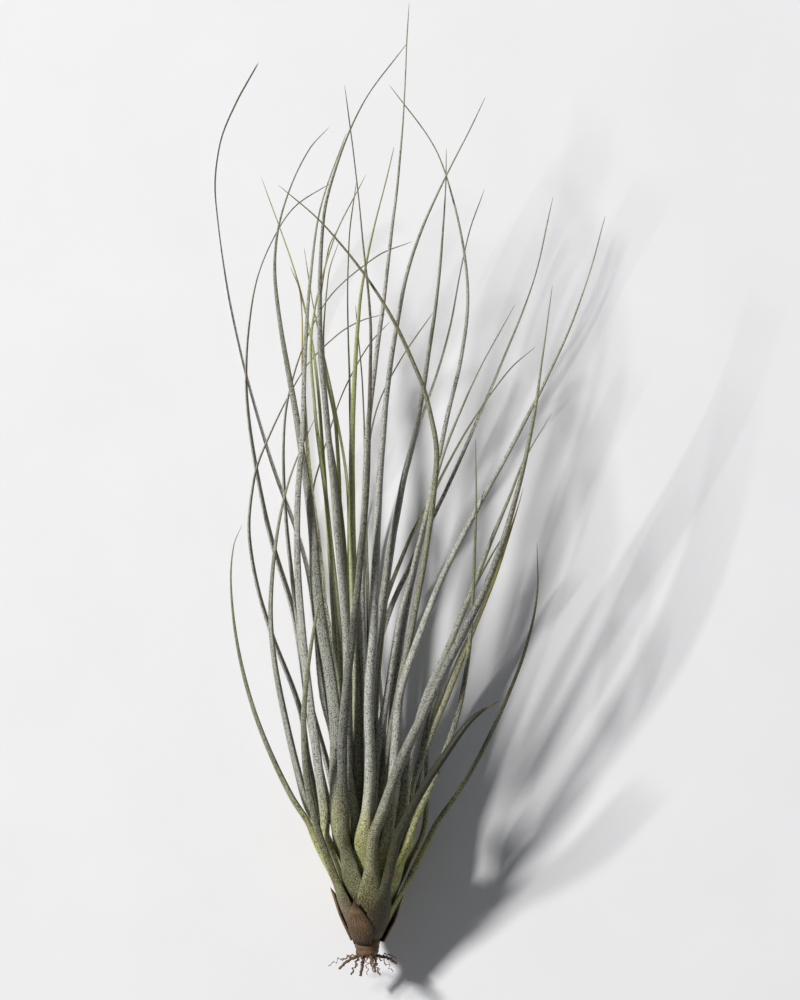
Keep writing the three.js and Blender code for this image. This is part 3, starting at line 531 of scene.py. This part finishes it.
def mesh_piece(name, points, quads, triangles, uv=None, marks=None):
    """An object at the origin whose mesh has these points in plant millimetres, faces of four and
    three corners, a map and one number a point for each mark."""
    mesh = bpy.data.meshes.new(name)
    corners = np.concatenate([quads.ravel(), triangles.ravel()]).astype(np.int32)
    sizes = np.concatenate([np.full(len(quads), 4), np.full(len(triangles), 3)]).astype(np.int32)
    mesh.vertices.add(len(points))
    mesh.vertices.foreach_set("co", ((points - ORIGIN) * MM).astype(np.float32).ravel())
    mesh.loops.add(len(corners))
    mesh.loops.foreach_set("vertex_index", corners)
    starts = np.concatenate([[0], np.cumsum(sizes)[:-1]]).astype(np.int32)
    mesh.polygons.add(len(sizes))
    mesh.polygons.foreach_set("loop_start", starts)
    mesh.polygons.foreach_set("loop_total", sizes)
    mesh.polygons.foreach_set("use_smooth", np.ones(len(sizes), bool))
    if uv is not None:
        mesh.uv_layers.new(name="UVMap").data.foreach_set("uv", uv.astype(np.float32).ravel())
    for mark, values in (marks or {}).items():
        layer = mesh.attributes.new(mark, "FLOAT", "POINT")
        layer.data.foreach_set("value", values.astype(np.float32))
    mesh.update()
    mesh.validate()
    piece = bpy.data.objects.new(name, mesh)
    bpy.context.scene.collection.objects.link(piece)
    return piece


def place_piece(piece, material, slot, *nodes):
    piece.data.materials.append(material)
    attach(piece, "root")
    if nodes:
        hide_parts(*nodes)


def leaf_rings(leaf, shares, angles):
    """Rings of a crescent section across the leaf. At angle a round the ring, u = cos a goes from
    edge to edge. The outer side stands thick/2 high in an ellipse over an arch, and the inner side
    is a channel in the form of a parabola."""
    centre = leaf.clear_line(shares)
    y = centre[:, 1]
    wobble = SIDE_WAVE * smooth_step((y - CROWN_TOP) / SIDE_WAVE_RISE)
    wobble = wobble * wave(y, SIDE_WAVE_LENGTH, SIDE_WAVE_SEED + leaf.rank)
    ahead = leaf.clear_line(np.minimum(1, shares + TANGENT_STEP))
    behind = leaf.clear_line(np.maximum(0, shares - TANGENT_STEP))
    tangent = unit(ahead - behind)
    out = unit(leaf.outward - tangent * (tangent @ leaf.outward)[:, None])
    side = np.cross(tangent, out)
    width, thick, arch = leaf.section(
        y, FINE_SHEATH_THICK, FINE_ROD_THICK, FINE_LEAST_WIDTH, FINE_LEAST_THICK, wrap=1)
    taper = np.sqrt(np.clip((1 - shares) * leaf.total / TIP_TAPER, 0, 1))
    swell = (1 + WIDTH_WAVE * wave(y, WIDTH_WAVE_LENGTH, WIDTH_WAVE_SEED + leaf.rank)) * taper
    u = np.cos(angles)[None, :]
    high = np.sqrt(np.maximum(0, 1 - u ** 2))
    thick = (thick * taper)[:, None]
    arch = (arch * taper)[:, None]
    outer = -arch + (arch + thick / 2) * high
    inner = -arch + (arch - thick / 2) * high ** 2
    height = np.where(np.sin(angles)[None, :] >= 0, outer, inner)
    across = u * (width * swell / 2)[:, None] + wobble[:, None]
    rings = rings_along(centre, side, out, across, height)
    rings[..., 2] = np.maximum(0, rings[..., 2])
    return rings, width


def leaf_piece(leaf, tint):
    """The leaf as one closed surface over place along the leaf and angle round it."""
    steps = int(leaf.total / RING_STEP)
    shares = np.linspace(0, 1 - LAST_RING / leaf.total, steps)
    angles = 2 * math.pi * np.arange(AROUND) / AROUND
    rings, width = leaf_rings(leaf, shares, angles)
    points, quads, fans = closed_tube(rings)
    points[-1] = leaf.clear_line(np.array([1.0]))[0]
    points[-1, 2] = max(0, points[-1, 2])
    u = np.linspace(0, 1, AROUND + 1) * math.pi * width.max() / 2
    v = shares * leaf.total
    uv = tube_uv(quads, fans, AROUND, u, v)
    along = np.concatenate([np.repeat(v, AROUND), [0, leaf.total]])
    inner_ring = np.clip(-INNER_SHARPNESS * np.sin(angles), 0, 1)
    inner = np.concatenate([np.tile(inner_ring, steps), [0, 0]])
    marks = {
        "to_tip": leaf.total - along,
        "height_up": points[:, 1],
        "inner_side": inner,
        "tint": np.full(len(points), tint),
    }
    return mesh_piece(leaf.name + "_blade", points, quads, fans, uv, marks)


def linear(colour):
    """A colour given as 0 to 255 on a screen, as the renderer's linear values."""
    channels = np.array(colour) / 255
    low = channels / 12.92
    high = ((channels + 0.055) / 1.055) ** 2.4
    return (*np.where(channels <= 0.04045, low, high), 1.0)


class Nodes:
    """A short way to add nodes to a tree and to link them."""

    def __init__(self, tree):
        self.tree = tree

    def add(self, kind, **settings):
        node = self.tree.nodes.new("ShaderNode" + kind)
        inputs = settings.pop("inputs", {})
        for key, value in settings.items():
            setattr(node, key, value)
        for key, value in inputs.items():
            self.feed(node.inputs[key], value)
        return node

    def feed(self, socket, value):
        if isinstance(value, bpy.types.NodeSocket):
            self.tree.links.new(value, socket)
        else:
            socket.default_value = value

    def math(self, operation, *values):
        node = self.add("Math", operation=operation)
        for socket, value in zip(node.inputs, values):
            self.feed(socket, value)
        return node.outputs[0]

    def pushed(self, value, by, times):
        """The value plus a number of times another."""
        return self.math("ADD", value, self.math("MULTIPLY", by, times))

    def ramp(self, value, start, end, low=0.0, high=1.0):
        """The value mapped smoothly from start..end to low..high, and held past both."""
        node = self.add("MapRange", interpolation_type="SMOOTHSTEP", inputs={
            "Value": value, "From Min": start, "From Max": end, "To Min": low, "To Max": high})
        return node.outputs["Result"]

    def noise(self, place, grain, detail, rough=0.5):
        """Noise from 0 to 1, with this many grains a unit of place."""
        node = self.add("TexNoise", inputs={
            "Vector": place, "Scale": grain, "Detail": detail, "Roughness": rough})
        return node.outputs["Fac"]

    def mix(self, share, first, second, way="MIX"):
        """Two colours mixed, by the node's colour sockets. Each is a socket or a screen colour."""
        node = self.add("Mix", data_type="RGBA", clamp_factor=True, blend_type=way)
        self.feed(node.inputs[0], share)
        for socket, colour in ((node.inputs[6], first), (node.inputs[7], second)):
            self.feed(socket, linear(colour) if isinstance(colour, tuple) else colour)
        return node.outputs[2]

    def mark(self, name):
        return self.add("Attribute", attribute_name=name).outputs["Fac"]


def new_group(name, inputs, outputs):
    """An empty shader node group with float or vector inputs and outputs."""
    tree = bpy.data.node_groups.new(name, "ShaderNodeTree")
    for label, kind in inputs:
        tree.interface.new_socket(label, in_out="INPUT", socket_type=kind)
    for label, kind in outputs:
        tree.interface.new_socket(label, in_out="OUTPUT", socket_type=kind)
    source = tree.nodes.new("NodeGroupInput")
    sink = tree.nodes.new("NodeGroupOutput")
    return tree, source.outputs, sink.inputs


# Scales per metre: each is about 0.2 mm across with the gap beside it. The noise that breaks them
# up is finer. The mask's threshold falls from the first value on bare skin to the second.
SCALE_GRAIN = 4900.0
NOISE_GRAIN = 1.4
DISC_WEIGHT = 0.9
COVER_THRESHOLDS = (0.78, 0.18)
SCALE_EDGE = 0.08

# Veins: millimetres round the leaf from one to the next, and how they drift along it.
VEIN_SPACING = 0.34
VEIN_STRETCH = 0.05
VEIN_DRIFT = 2.4
VEIN_EDGE = -0.6


def scale_group():
    """The silvery scales that cover a leaf: small uneven discs that run together, with dark gaps.
    Mask is 1 on a scale and 0 in a gap, and Height is the relief. Cover is the share of skin that
    the scales hide."""
    tree, given, result = new_group(
        "silvery scales",
        [("Vector", "NodeSocketVector"), ("Grain", "NodeSocketFloat"), ("Cover", "NodeSocketFloat")],
        [("Mask", "NodeSocketFloat"), ("Height", "NodeSocketFloat")],
    )
    nodes = Nodes(tree)
    discs = nodes.add("TexVoronoi", inputs={"Vector": given["Vector"], "Scale": given["Grain"]})
    finer = nodes.math("MULTIPLY", given["Grain"], NOISE_GRAIN)
    noise = nodes.noise(given["Vector"], finer, detail=1.0, rough=0.6)
    disc = nodes.math("SUBTRACT", 0.5, discs.outputs["Distance"])
    both = nodes.pushed(noise, disc, DISC_WEIGHT)
    threshold = nodes.ramp(given["Cover"], 0.0, 1.0, *COVER_THRESHOLDS)
    mask = nodes.ramp(nodes.math("SUBTRACT", both, threshold), -SCALE_EDGE, SCALE_EDGE)
    tree.links.new(mask, result["Mask"])
    tree.links.new(nodes.math("MULTIPLY", nodes.math("ADD", disc, 0.5), mask), result["Height"])
    return tree


def vein_group():
    """Fine veins along the leaf, from the place round the leaf in millimetres and a little noise."""
    tree, given, result = new_group(
        "leaf veins",
        [("Map", "NodeSocketVector"), ("Spacing", "NodeSocketFloat")],
        [("Mask", "NodeSocketFloat")],
    )
    nodes = Nodes(tree)
    parts = nodes.add("SeparateXYZ", inputs={"Vector": given["Map"]})
    stretched = nodes.add("CombineXYZ", inputs={
        "X": parts.outputs["X"],
        "Y": nodes.math("MULTIPLY", parts.outputs["Y"], VEIN_STRETCH),
    })
    drift = nodes.noise(stretched.outputs[0], VEIN_DRIFT, detail=2.0)
    spaced = nodes.math("DIVIDE", parts.outputs["X"], given["Spacing"])
    turns = nodes.math("ADD", spaced, drift)
    ripple = nodes.math("SINE", nodes.math("MULTIPLY", turns, 2 * math.pi))
    tree.links.new(nodes.ramp(ripple, VEIN_EDGE, 1.0), result["Mask"])
    return tree


SCALES = scale_group()
VEINS = vein_group()


def grouped(nodes, tree, **inputs):
    node = nodes.add("Group", node_tree=tree)
    for label, value in inputs.items():
        nodes.feed(node.inputs[label], value)
    return node.outputs


def new_material(name):
    """A material with a Principled shader on its output. Returns it, its nodes and the shader."""
    material = bpy.data.materials.new(name)
    material.use_nodes = True
    material.node_tree.nodes.clear()
    nodes = Nodes(material.node_tree)
    shader = nodes.add("BsdfPrincipled")
    output = nodes.add("OutputMaterial")
    material.node_tree.links.new(shader.outputs[0], output.inputs["Surface"])
    return material, nodes, shader


# Where a leaf's colours change, in millimetres up from the stem's base or back from the tip, and
# how far patches of noise push those places.
STUB_RANGE = (15.0, 6.0)
FOOT_RANGE = (14.0, 44.0)
HIGH_RANGE = (58.0, 98.0)
TIP_RANGE = (70.0, 8.0)
HEIGHT_UNEVEN = 22.0
TIP_UNEVEN = 12.0
PATCH_GRAIN = 110.0
STAIN_GRAIN = 260.0
STAIN_RANGE = (0.5, 0.72)

# The dried tip's shares of its length: fully yellow, then the first brown and fully brown.
DRY_FULL = 0.35
BURNT_FROM = 0.6
BURNT_FULL = 0.1

# How the cover of scales changes, the skin's roughness in a gap and on a scale, and its relief.
STUB_COVER = 0.6
INNER_COVER = 0.06
UNEVEN_COVER = 0.3
SKIN_ROUGHNESS = (0.5, 0.8)
VEIN_RELIEF = 0.3
RELIEF_STRENGTH = 0.6
RELIEF_DEPTH = 0.0001
SHEEN_ROUGHNESS = 0.5
GLOW_DEPTH = 0.0015


def leaf_material(name, look):
    """A leaf's skin: crowded pale scales with dark gaps between them. Both colours turn yellow-green
    and then brown towards the sheath's foot, and olive towards the tip, which dries out."""
    material, nodes, shader = new_material(name)
    place = nodes.add("TexCoord").outputs["Object"]
    leaf_map = nodes.add("UVMap").outputs["UV"]
    uneven = nodes.math("SUBTRACT", nodes.noise(place, PATCH_GRAIN, detail=3.0), 0.5)
    stains = nodes.ramp(nodes.noise(place, STAIN_GRAIN, detail=4.0), *STAIN_RANGE)
    height_up = nodes.pushed(nodes.mark("height_up"), uneven, HEIGHT_UNEVEN)
    to_tip = nodes.pushed(nodes.mark("to_tip"), uneven, TIP_UNEVEN)
    above_foot = nodes.ramp(height_up, *FOOT_RANGE)
    near_tip = nodes.ramp(to_tip, *TIP_RANGE)
    near_stub = nodes.ramp(height_up, *STUB_RANGE)
    high_up = nodes.ramp(height_up, *HIGH_RANGE)

    scale = nodes.mix(high_up, look["low_scale"], look["scale"])
    stained = nodes.math("MULTIPLY", stains, look["stain"])
    foot_scale = nodes.mix(stained, look["foot_scale"], look["foot_stain"])
    scale = nodes.mix(above_foot, foot_scale, scale)
    scale = nodes.mix(near_tip, scale, look["tip_scale"])
    gap = nodes.mix(high_up, look["low_gap"], look["gap"])
    gap = nodes.mix(above_foot, look["foot_gap"], gap)
    gap = nodes.mix(near_tip, gap, look["tip_gap"])
    gap = nodes.mix(near_stub, gap, look["stub"])
    veins = grouped(nodes, VEINS, Map=leaf_map, Spacing=VEIN_SPACING)["Mask"]
    scale = nodes.mix(nodes.math("MULTIPLY", veins, look["veins"]), scale, gap)

    cover = nodes.math("MULTIPLY", look["cover"], nodes.ramp(near_stub, 0.0, 1.0, 1.0, STUB_COVER))
    cover = nodes.pushed(cover, nodes.mark("inner_side"), -INNER_COVER)
    cover = nodes.pushed(cover, uneven, UNEVEN_COVER)
    scales = grouped(nodes, SCALES, Vector=place, Grain=SCALE_GRAIN, Cover=cover)
    colour = nodes.mix(scales["Mask"], gap, scale)

    dry = look["dry_length"]
    dried = nodes.ramp(to_tip, dry, dry * DRY_FULL)
    colour = nodes.mix(dried, colour, look["dry_yellow"])
    burnt = nodes.ramp(to_tip, dry * BURNT_FROM, dry * BURNT_FULL)
    colour = nodes.mix(burnt, colour, look["dry_brown"])
    tinted = nodes.mix(nodes.mark("tint"), look["tint_dark"], look["tint_light"])
    nodes.feed(shader.inputs["Base Color"], nodes.mix(1.0, colour, tinted, "MULTIPLY"))

    roughness = nodes.ramp(scales["Mask"], 0.0, 1.0, *SKIN_ROUGHNESS)
    nodes.feed(shader.inputs["Roughness"], roughness)
    relief = nodes.pushed(scales["Height"], veins, VEIN_RELIEF)
    bump = nodes.add("Bump", inputs={
        "Strength": RELIEF_STRENGTH, "Distance": RELIEF_DEPTH, "Height": relief})
    nodes.feed(shader.inputs["Normal"], bump.outputs["Normal"])
    shader.inputs["Sheen Weight"].default_value = look["sheen"]
    shader.inputs["Sheen Roughness"].default_value = SHEEN_ROUGHNESS
    shader.inputs["Subsurface Weight"].default_value = look["glow"]
    shader.inputs["Subsurface Scale"].default_value = GLOW_DEPTH
    return material


SILVER_LOOK = {
    "scale": (214, 213, 205),
    "gap": (90, 91, 80),
    "low_scale": (220, 220, 212),
    "low_gap": (90, 90, 82),
    "foot_scale": (212, 213, 128),
    "foot_gap": (98, 98, 38),
    "foot_stain": (160, 130, 72),
    "stain": 0.7,
    "tip_scale": (184, 186, 156),
    "tip_gap": (110, 114, 84),
    "stub": (84, 62, 40),
    "cover": 0.56,
    "veins": 0.1,
    "dry_length": 3.0,
    "dry_yellow": (150, 140, 80),
    "dry_brown": (96, 80, 50),
    "tint_dark": (206, 208, 202),
    "tint_light": (255, 255, 255),
    "sheen": 0.06,
    "glow": 0.04,
}

OLIVE_LOOK = SILVER_LOOK | {
    "scale": (172, 172, 144),
    "gap": (68, 70, 48),
    "low_scale": (174, 174, 156),
    "low_gap": (60, 60, 46),
    "tip_scale": (146, 148, 104),
    "tip_gap": (92, 94, 60),
    "cover": 0.54,
    "dry_length": 5.0,
    "dry_yellow": (142, 134, 66),
    "dry_brown": (84, 74, 46),
}

LEAF_LOOKS = {
    "silver": SILVER_LOOK,
    "olive": OLIVE_LOOK,
    "green": SILVER_LOOK | {
        "scale": (204, 211, 154),
        "gap": (144, 154, 98),
        "low_scale": (206, 208, 180),
        "low_gap": (108, 113, 84),
        "foot_scale": (206, 208, 108),
        "foot_gap": (134, 138, 48),
        "tip_scale": (190, 196, 140),
        "tip_gap": (140, 148, 92),
        "veins": 0.26,
        "glow": 0.08,
    },
    # Darker grey leaves: partly their own darker tone, and partly painted shade for leaves that turn away
    # from the light.
    "purple": SILVER_LOOK | {
        "scale": (172, 170, 154),
        "gap": (58, 57, 46),
        "low_scale": (173, 173, 163),
        "low_gap": (54, 54, 47),
        "foot_scale": (170, 170, 124),
        "foot_gap": (64, 64, 36),
        "cover": 0.5,
    },
    "browned": OLIVE_LOOK | {
        "scale": (190, 190, 160),
        "gap": (76, 78, 56),
        "low_scale": (194, 194, 174),
        "low_gap": (72, 72, 58),
        "tip_scale": (168, 162, 92),
        "tip_gap": (110, 104, 50),
        "dry_length": 26.0,
        "dry_yellow": (184, 174, 66),
        "dry_brown": (124, 108, 62),
    },
    # The dried leaf: darker than its dryness alone, with painted shade for its side that faces away from
    # the light.
    "dried": OLIVE_LOOK | {
        "low_scale": (76, 77, 60),
        "low_gap": (24, 25, 18),
        "foot_scale": (112, 113, 78),
        "foot_gap": (42, 43, 24),
        "tip_scale": (60, 61, 38),
        "tip_gap": (26, 27, 15),
        "cover": 0.46,
        "dry_length": 6.0,
        "dry_yellow": (120, 108, 54),
        "dry_brown": (66, 54, 32),
        "sheen": 0.0,
    },
}

SHEATH_LOOK = SILVER_LOOK | {
    "foot_scale": (168, 138, 100),
    "foot_gap": (100, 72, 46),
    "foot_stain": (124, 88, 56),
    "low_scale": (158, 128, 92),
    "low_gap": (96, 70, 46),
    "tip_scale": (146, 118, 84),
    "tip_gap": (92, 68, 46),
    "stub": (74, 52, 34),
    "cover": 0.66,
    "veins": 0.6,
    "dry_length": 4.0,
    "dry_yellow": (140, 110, 76),
    "dry_brown": (92, 68, 46),
    "sheen": 0.0,
}

# The bark's fibres, drawn out along the stem, and the greyish bloom on it.
FIBRE_GRAIN = 1800.0
FIBRE_STRETCH = 0.25
BLOOM_GRAIN = 350.0
BLOOM_RANGE = (0.52, 0.72)
FIBRE_RANGE = (0.2, 0.8)
BARK_ROUGHNESS = (0.65, 0.9)
BARK_DEPTH = 0.0002


def bark_material():
    """Woody brown bark: long fibres under a greyish bloom."""
    material, nodes, shader = new_material("stem bark")
    place = nodes.add("TexCoord").outputs["Object"]
    squeezed = nodes.add("Mapping", inputs={"Vector": place, "Scale": (1.0, FIBRE_STRETCH, 1.0)})
    fibres = nodes.noise(squeezed.outputs[0], FIBRE_GRAIN, detail=5.0, rough=0.65)
    bloom = nodes.ramp(nodes.noise(place, BLOOM_GRAIN, detail=3.0), *BLOOM_RANGE)
    colour = nodes.mix(fibres, (58, 42, 30), (132, 102, 72))
    colour = nodes.mix(bloom, colour, (150, 134, 108))
    nodes.feed(shader.inputs["Base Color"], colour)
    nodes.feed(shader.inputs["Roughness"], nodes.ramp(fibres, *FIBRE_RANGE, *BARK_ROUGHNESS))
    bump = nodes.add("Bump", inputs={"Strength": 0.7, "Distance": BARK_DEPTH, "Height": fibres})
    nodes.feed(shader.inputs["Normal"], bump.outputs["Normal"])
    return material


# The stem and its roots on the solids' lines, with lumps and ring scars added.
STEM_RADIUS = 2.9
STEM_TAPER = 0.09
STEM_TOP = 22
STUB_RADIUS = 1.4
STUB_SHOULDER_RADIUS = 2.3
STUB_SHOULDER = 0.7
STEM_FROM = 3
BUD_RADIUS = 0.5
BUD_HEIGHT = 0.8
STEM_END_RADIUS = 0.05
STEM_RINGS = 90
STEM_AROUND = 40
STEM_ROUGHNESS = 0.16
LUMP_SHARE = 0.5
LONG_LUMP_WAVE = (5, 31)
LONG_LUMPS_ROUND = 3
SHORT_LUMP_WAVE = (2.3, 32)
SHORT_LUMPS_ROUND = 7
SCAR_SPACING = 1.1
SCAR_SHARPNESS = 6
SCAR_SHARE = 0.8
ROOT_HEIGHT = 1.6
ROOT_SINK = 0.9
ROOT_ELBOW_REACH = 1.9
ROOT_ELBOW_DROP = 1.2
ROOT_BEND_REACH = 0.7
ROOT_BEND_DROP = 0.6
ROOT_RINGS = 60
ROOT_AROUND = 12

# A root's waves: their lengths count along a root that is 10 long. Kinks fade out near the end.
ROOT_SPAN = 10
ROOT_SWELL = 0.15
ROOT_SWELL_WAVE = (1.3, 50)
KINK_ASIDE_WAVE = (2.1, 60)
KINK_OVER_WAVE = (1.7, 70)
KINK_FADE = 4
SOLID_ROOTS = 4
SOLID_ROOT_KINK = 0.2
FINE_ROOT_KINK = 0.7

# A slanted way that no root runs along, from which the ways across it are found.
SLANTED = [0.3, 1, 0.2]

# Wiry roots: the way each one leaves the stem, in degrees round it, how far out and down it goes, and
# its radius at its foot and at its end. The first four lie in the solids' roots, the rest are finer.
ROOTS = [
    (20, 5, 4.5, 0.44, 0.26), (110, 6.5, 3, 0.44, 0.24), (200, 4, 5.5, 0.44, 0.28),
    (285, 6, 4, 0.44, 0.24), (50, 3.6, 5.2, 0.26, 0.1), (75, 5.6, 4.6, 0.22, 0.08),
    (140, 3.2, 3.4, 0.3, 0.12), (165, 5, 4.8, 0.24, 0.08), (235, 6.4, 2.4, 0.24, 0.09),
    (255, 3.4, 5.3, 0.3, 0.12), (310, 4.4, 5, 0.24, 0.08), (335, 3, 3.2, 0.3, 0.14),
    (0, 4.2, 5.2, 0.2, 0.07), (125, 7.4, 2, 0.2, 0.07), (270, 8, 3.4, 0.22, 0.07),
    (90, 2.6, 5.4, 0.24, 0.1),
]


def stem_piece():
    """A turned surface over height y and angle a. Its radius follows the stem's profile, less shallow
    ring scars and plus lumps that are products of waves in a and y."""
    y = np.linspace(0, STEM_TOP, STEM_RINGS)
    shoulder_radius = STEM_RADIUS - STEM_TAPER * STEM_FROM
    radius = np.interp(
        y,
        [0, STUB_SHOULDER, STEM_FROM, STEM_TOP - BUD_HEIGHT, STEM_TOP],
        [STUB_RADIUS, STUB_SHOULDER_RADIUS, shoulder_radius, BUD_RADIUS, STEM_END_RADIUS],
    )
    angle = 2 * math.pi * np.arange(STEM_AROUND) / STEM_AROUND
    long_lumps = wave(y, *LONG_LUMP_WAVE)[:, None] * np.sin(LONG_LUMPS_ROUND * angle + 1)
    short_lumps = wave(y, *SHORT_LUMP_WAVE)[:, None] * np.sin(SHORT_LUMPS_ROUND * angle)
    scars = np.abs(np.sin(math.pi * y / SCAR_SPACING))[:, None] ** SCAR_SHARPNESS
    fade = np.minimum(1, radius / STUB_RADIUS)[:, None]
    uneven = LUMP_SHARE * (long_lumps + short_lumps) - SCAR_SHARE * scars
    rough = radius[:, None] + fade * STEM_ROUGHNESS * uneven
    tilt = math.atan(AXIS_RISE)
    up = rough * np.cos(angle)
    rings = np.stack([
        AXIS_X + AXIS_DRIFT * y[:, None] + rough * np.sin(angle),
        y[:, None] * math.cos(tilt) - up * math.sin(tilt),
        axis_height(0) + y[:, None] * math.sin(tilt) + up * math.cos(tilt),
    ], axis=-1)
    return mesh_piece("stem_bark", *closed_tube(rings[:, ::-1]))


def ways_across(path):
    """Two directions square to the path and to each other, at each of its points."""
    tangent = unit(np.gradient(path, axis=0))
    aside = unit(np.cross(tangent, SLANTED))
    return aside, np.cross(tangent, aside)


def smooth_path(points, count):
    """A cubic Hermite curve through the points at even shares, with chords between neighbours as
    slopes."""
    points = np.asarray(points, float)
    slopes = np.gradient(points, axis=0)
    share = np.linspace(0, len(points) - 1, count)
    i = np.clip(share.astype(int), 0, len(points) - 2)
    t = (share - i)[:, None]
    return hermite(points, slopes, i, t)


def root_piece(index, turn, reach, drop, foot, end):
    """A round tube that narrows along the root's path, with small kinks to either side."""
    angle = math.radians(turn)

    def place(out, down):
        return [
            AXIS_X + out * math.sin(angle),
            ROOT_HEIGHT - down,
            axis_height(0) + out * math.cos(angle),
        ]

    path = smooth_path([
        place(ROOT_SINK, 0),
        place(ROOT_ELBOW_REACH, ROOT_ELBOW_DROP),
        place(reach * ROOT_BEND_REACH, drop * ROOT_BEND_DROP),
        place(reach, drop),
    ], ROOT_RINGS)
    share = np.linspace(0, 1, ROOT_RINGS)
    aside, over = ways_across(path)

    def root_wave(length, seed):
        return wave(share * ROOT_SPAN, length, seed + index)[:, None]

    swell = 1 + ROOT_SWELL * root_wave(*ROOT_SWELL_WAVE)
    radius = blend(foot, end, share)[:, None] * swell
    bend = SOLID_ROOT_KINK if index < SOLID_ROOTS else FINE_ROOT_KINK
    kink = bend * (share * np.minimum(1, KINK_FADE * (1 - share)))[:, None]
    kink_aside = aside * root_wave(*KINK_ASIDE_WAVE)
    kink_over = over * root_wave(*KINK_OVER_WAVE)
    path = path + kink * (kink_aside + kink_over)
    around = 2 * math.pi * np.arange(ROOT_AROUND) / ROOT_AROUND
    rings = rings_along(path, aside, over, radius * np.cos(around), radius * np.sin(around))
    return mesh_piece(f"root_{index + 1}", *closed_tube(rings))


def build_leaves():
    leaves = [
        Leaf(name, wide, fall, tip_z, tone, run, rank, run[-1][1])
        for rank, (name, wide, fall, tip_z, tone, run) in enumerate(LEAF_RUNS)
    ]
    bend_clear(leaves)
    sheaths = [
        Leaf(name, wide, fall, DRY_TIP_Z, "dried", [], -1 - index, tip_y)
        for index, (name, wide, fall, tip_y) in enumerate(DRY_SHEATHS)
    ]
    return leaves + sheaths


# The picture's middle and height on the floor, and the camera's height over it.
PICTURE_X = -1.8
PICTURE_Y = -1.8
PICTURE_HEIGHT = 207
CAMERA_DISTANCE = 4000
SENSOR_HEIGHT = 36

# The floor, the window light and the room round them, in metres and watts.
FLOOR_SIZE = 6
FLOOR_GRAIN = 40.0
LIGHT_PLACE = (-2.3, 1.2, 2.4)
LIGHT_SIZE = 0.4
LIGHT_POWER = 152
LIGHT_COLOUR = (1.0, 0.985, 0.96)
ROOM_COLOUR = (0.92, 0.95, 1.0, 1)
ROOM_STRENGTH = 0.16


def floor_material():
    """Pale plaster with a faint unevenness."""
    material, nodes, shader = new_material("pale floor")
    place = nodes.add("TexCoord").outputs["Object"]
    unevenness = nodes.noise(place, FLOOR_GRAIN, detail=4.0)
    colour = nodes.mix(unevenness, (236, 236, 239), (243, 243, 246))
    nodes.feed(shader.inputs["Base Color"], colour)
    shader.inputs["Roughness"].default_value = 0.9
    return material


def floor_piece(size):
    bpy.ops.mesh.primitive_plane_add(size=size, location=(0, 0, 0))
    floor = bpy.context.object
    floor.name = "floor"
    floor.data.materials.append(floor_material())


def add_light(name, place, size, power, colour):
    """A square area light that faces the middle of the plant."""
    lamp = bpy.data.lights.new(name, "AREA")
    lamp.size = size
    lamp.energy = power
    lamp.color = colour
    light = bpy.data.objects.new(name, lamp)
    light.location = place
    light.rotation_euler = (-Vector(place)).to_track_quat("-Z", "Y").to_euler()
    bpy.context.scene.collection.objects.link(light)


def add_room():
    """Faint even light from all round."""
    world = bpy.data.worlds.new("pale room")
    world.use_nodes = True
    background = world.node_tree.nodes["Background"]
    background.inputs["Color"].default_value = ROOM_COLOUR
    background.inputs["Strength"].default_value = ROOM_STRENGTH
    bpy.context.scene.world = world


def add_camera():
    """Straight above the plant, with the leaf tips at the top of an upright picture."""
    camera = bpy.data.cameras.new("camera")
    camera.sensor_fit = "VERTICAL"
    camera.sensor_height = SENSOR_HEIGHT
    camera.lens = SENSOR_HEIGHT * CAMERA_DISTANCE / PICTURE_HEIGHT
    viewer = bpy.data.objects.new("camera", camera)
    viewer.location = (PICTURE_X * MM, PICTURE_Y * MM, CAMERA_DISTANCE * MM)
    bpy.context.scene.collection.objects.link(viewer)
    bpy.context.scene.camera = viewer


# Each leaf's own tint lies between the dark and the light one of its look.
TINT_SEED = 7

leaf_materials = {tone: leaf_material(f"{tone} leaf", look) for tone, look in LEAF_LOOKS.items()}
dry_sheath = leaf_material("dry sheath", SHEATH_LOOK)
tints = np.random.default_rng(TINT_SEED).uniform(0, 1, len(LEAF_RUNS) + len(DRY_SHEATHS))
for leaf, tint in zip(build_leaves(), tints):
    piece = leaf_piece(leaf, tint)
    material = leaf_materials[leaf.tone] if leaf.rank >= 0 else dry_sheath
    place_piece(piece, material, f"leaf_{leaf.tone}", leaf.name)

bark = bark_material()
place_piece(stem_piece(), bark, "stem_wood", "stem")
for index, root in enumerate(ROOTS):
    place_piece(root_piece(index, *root), bark, "stem_wood")

floor_piece(FLOOR_SIZE)
add_light("window light", LIGHT_PLACE, LIGHT_SIZE, LIGHT_POWER, LIGHT_COLOUR)
add_room()
bpy.context.scene.view_settings.view_transform = "Standard"
add_camera()
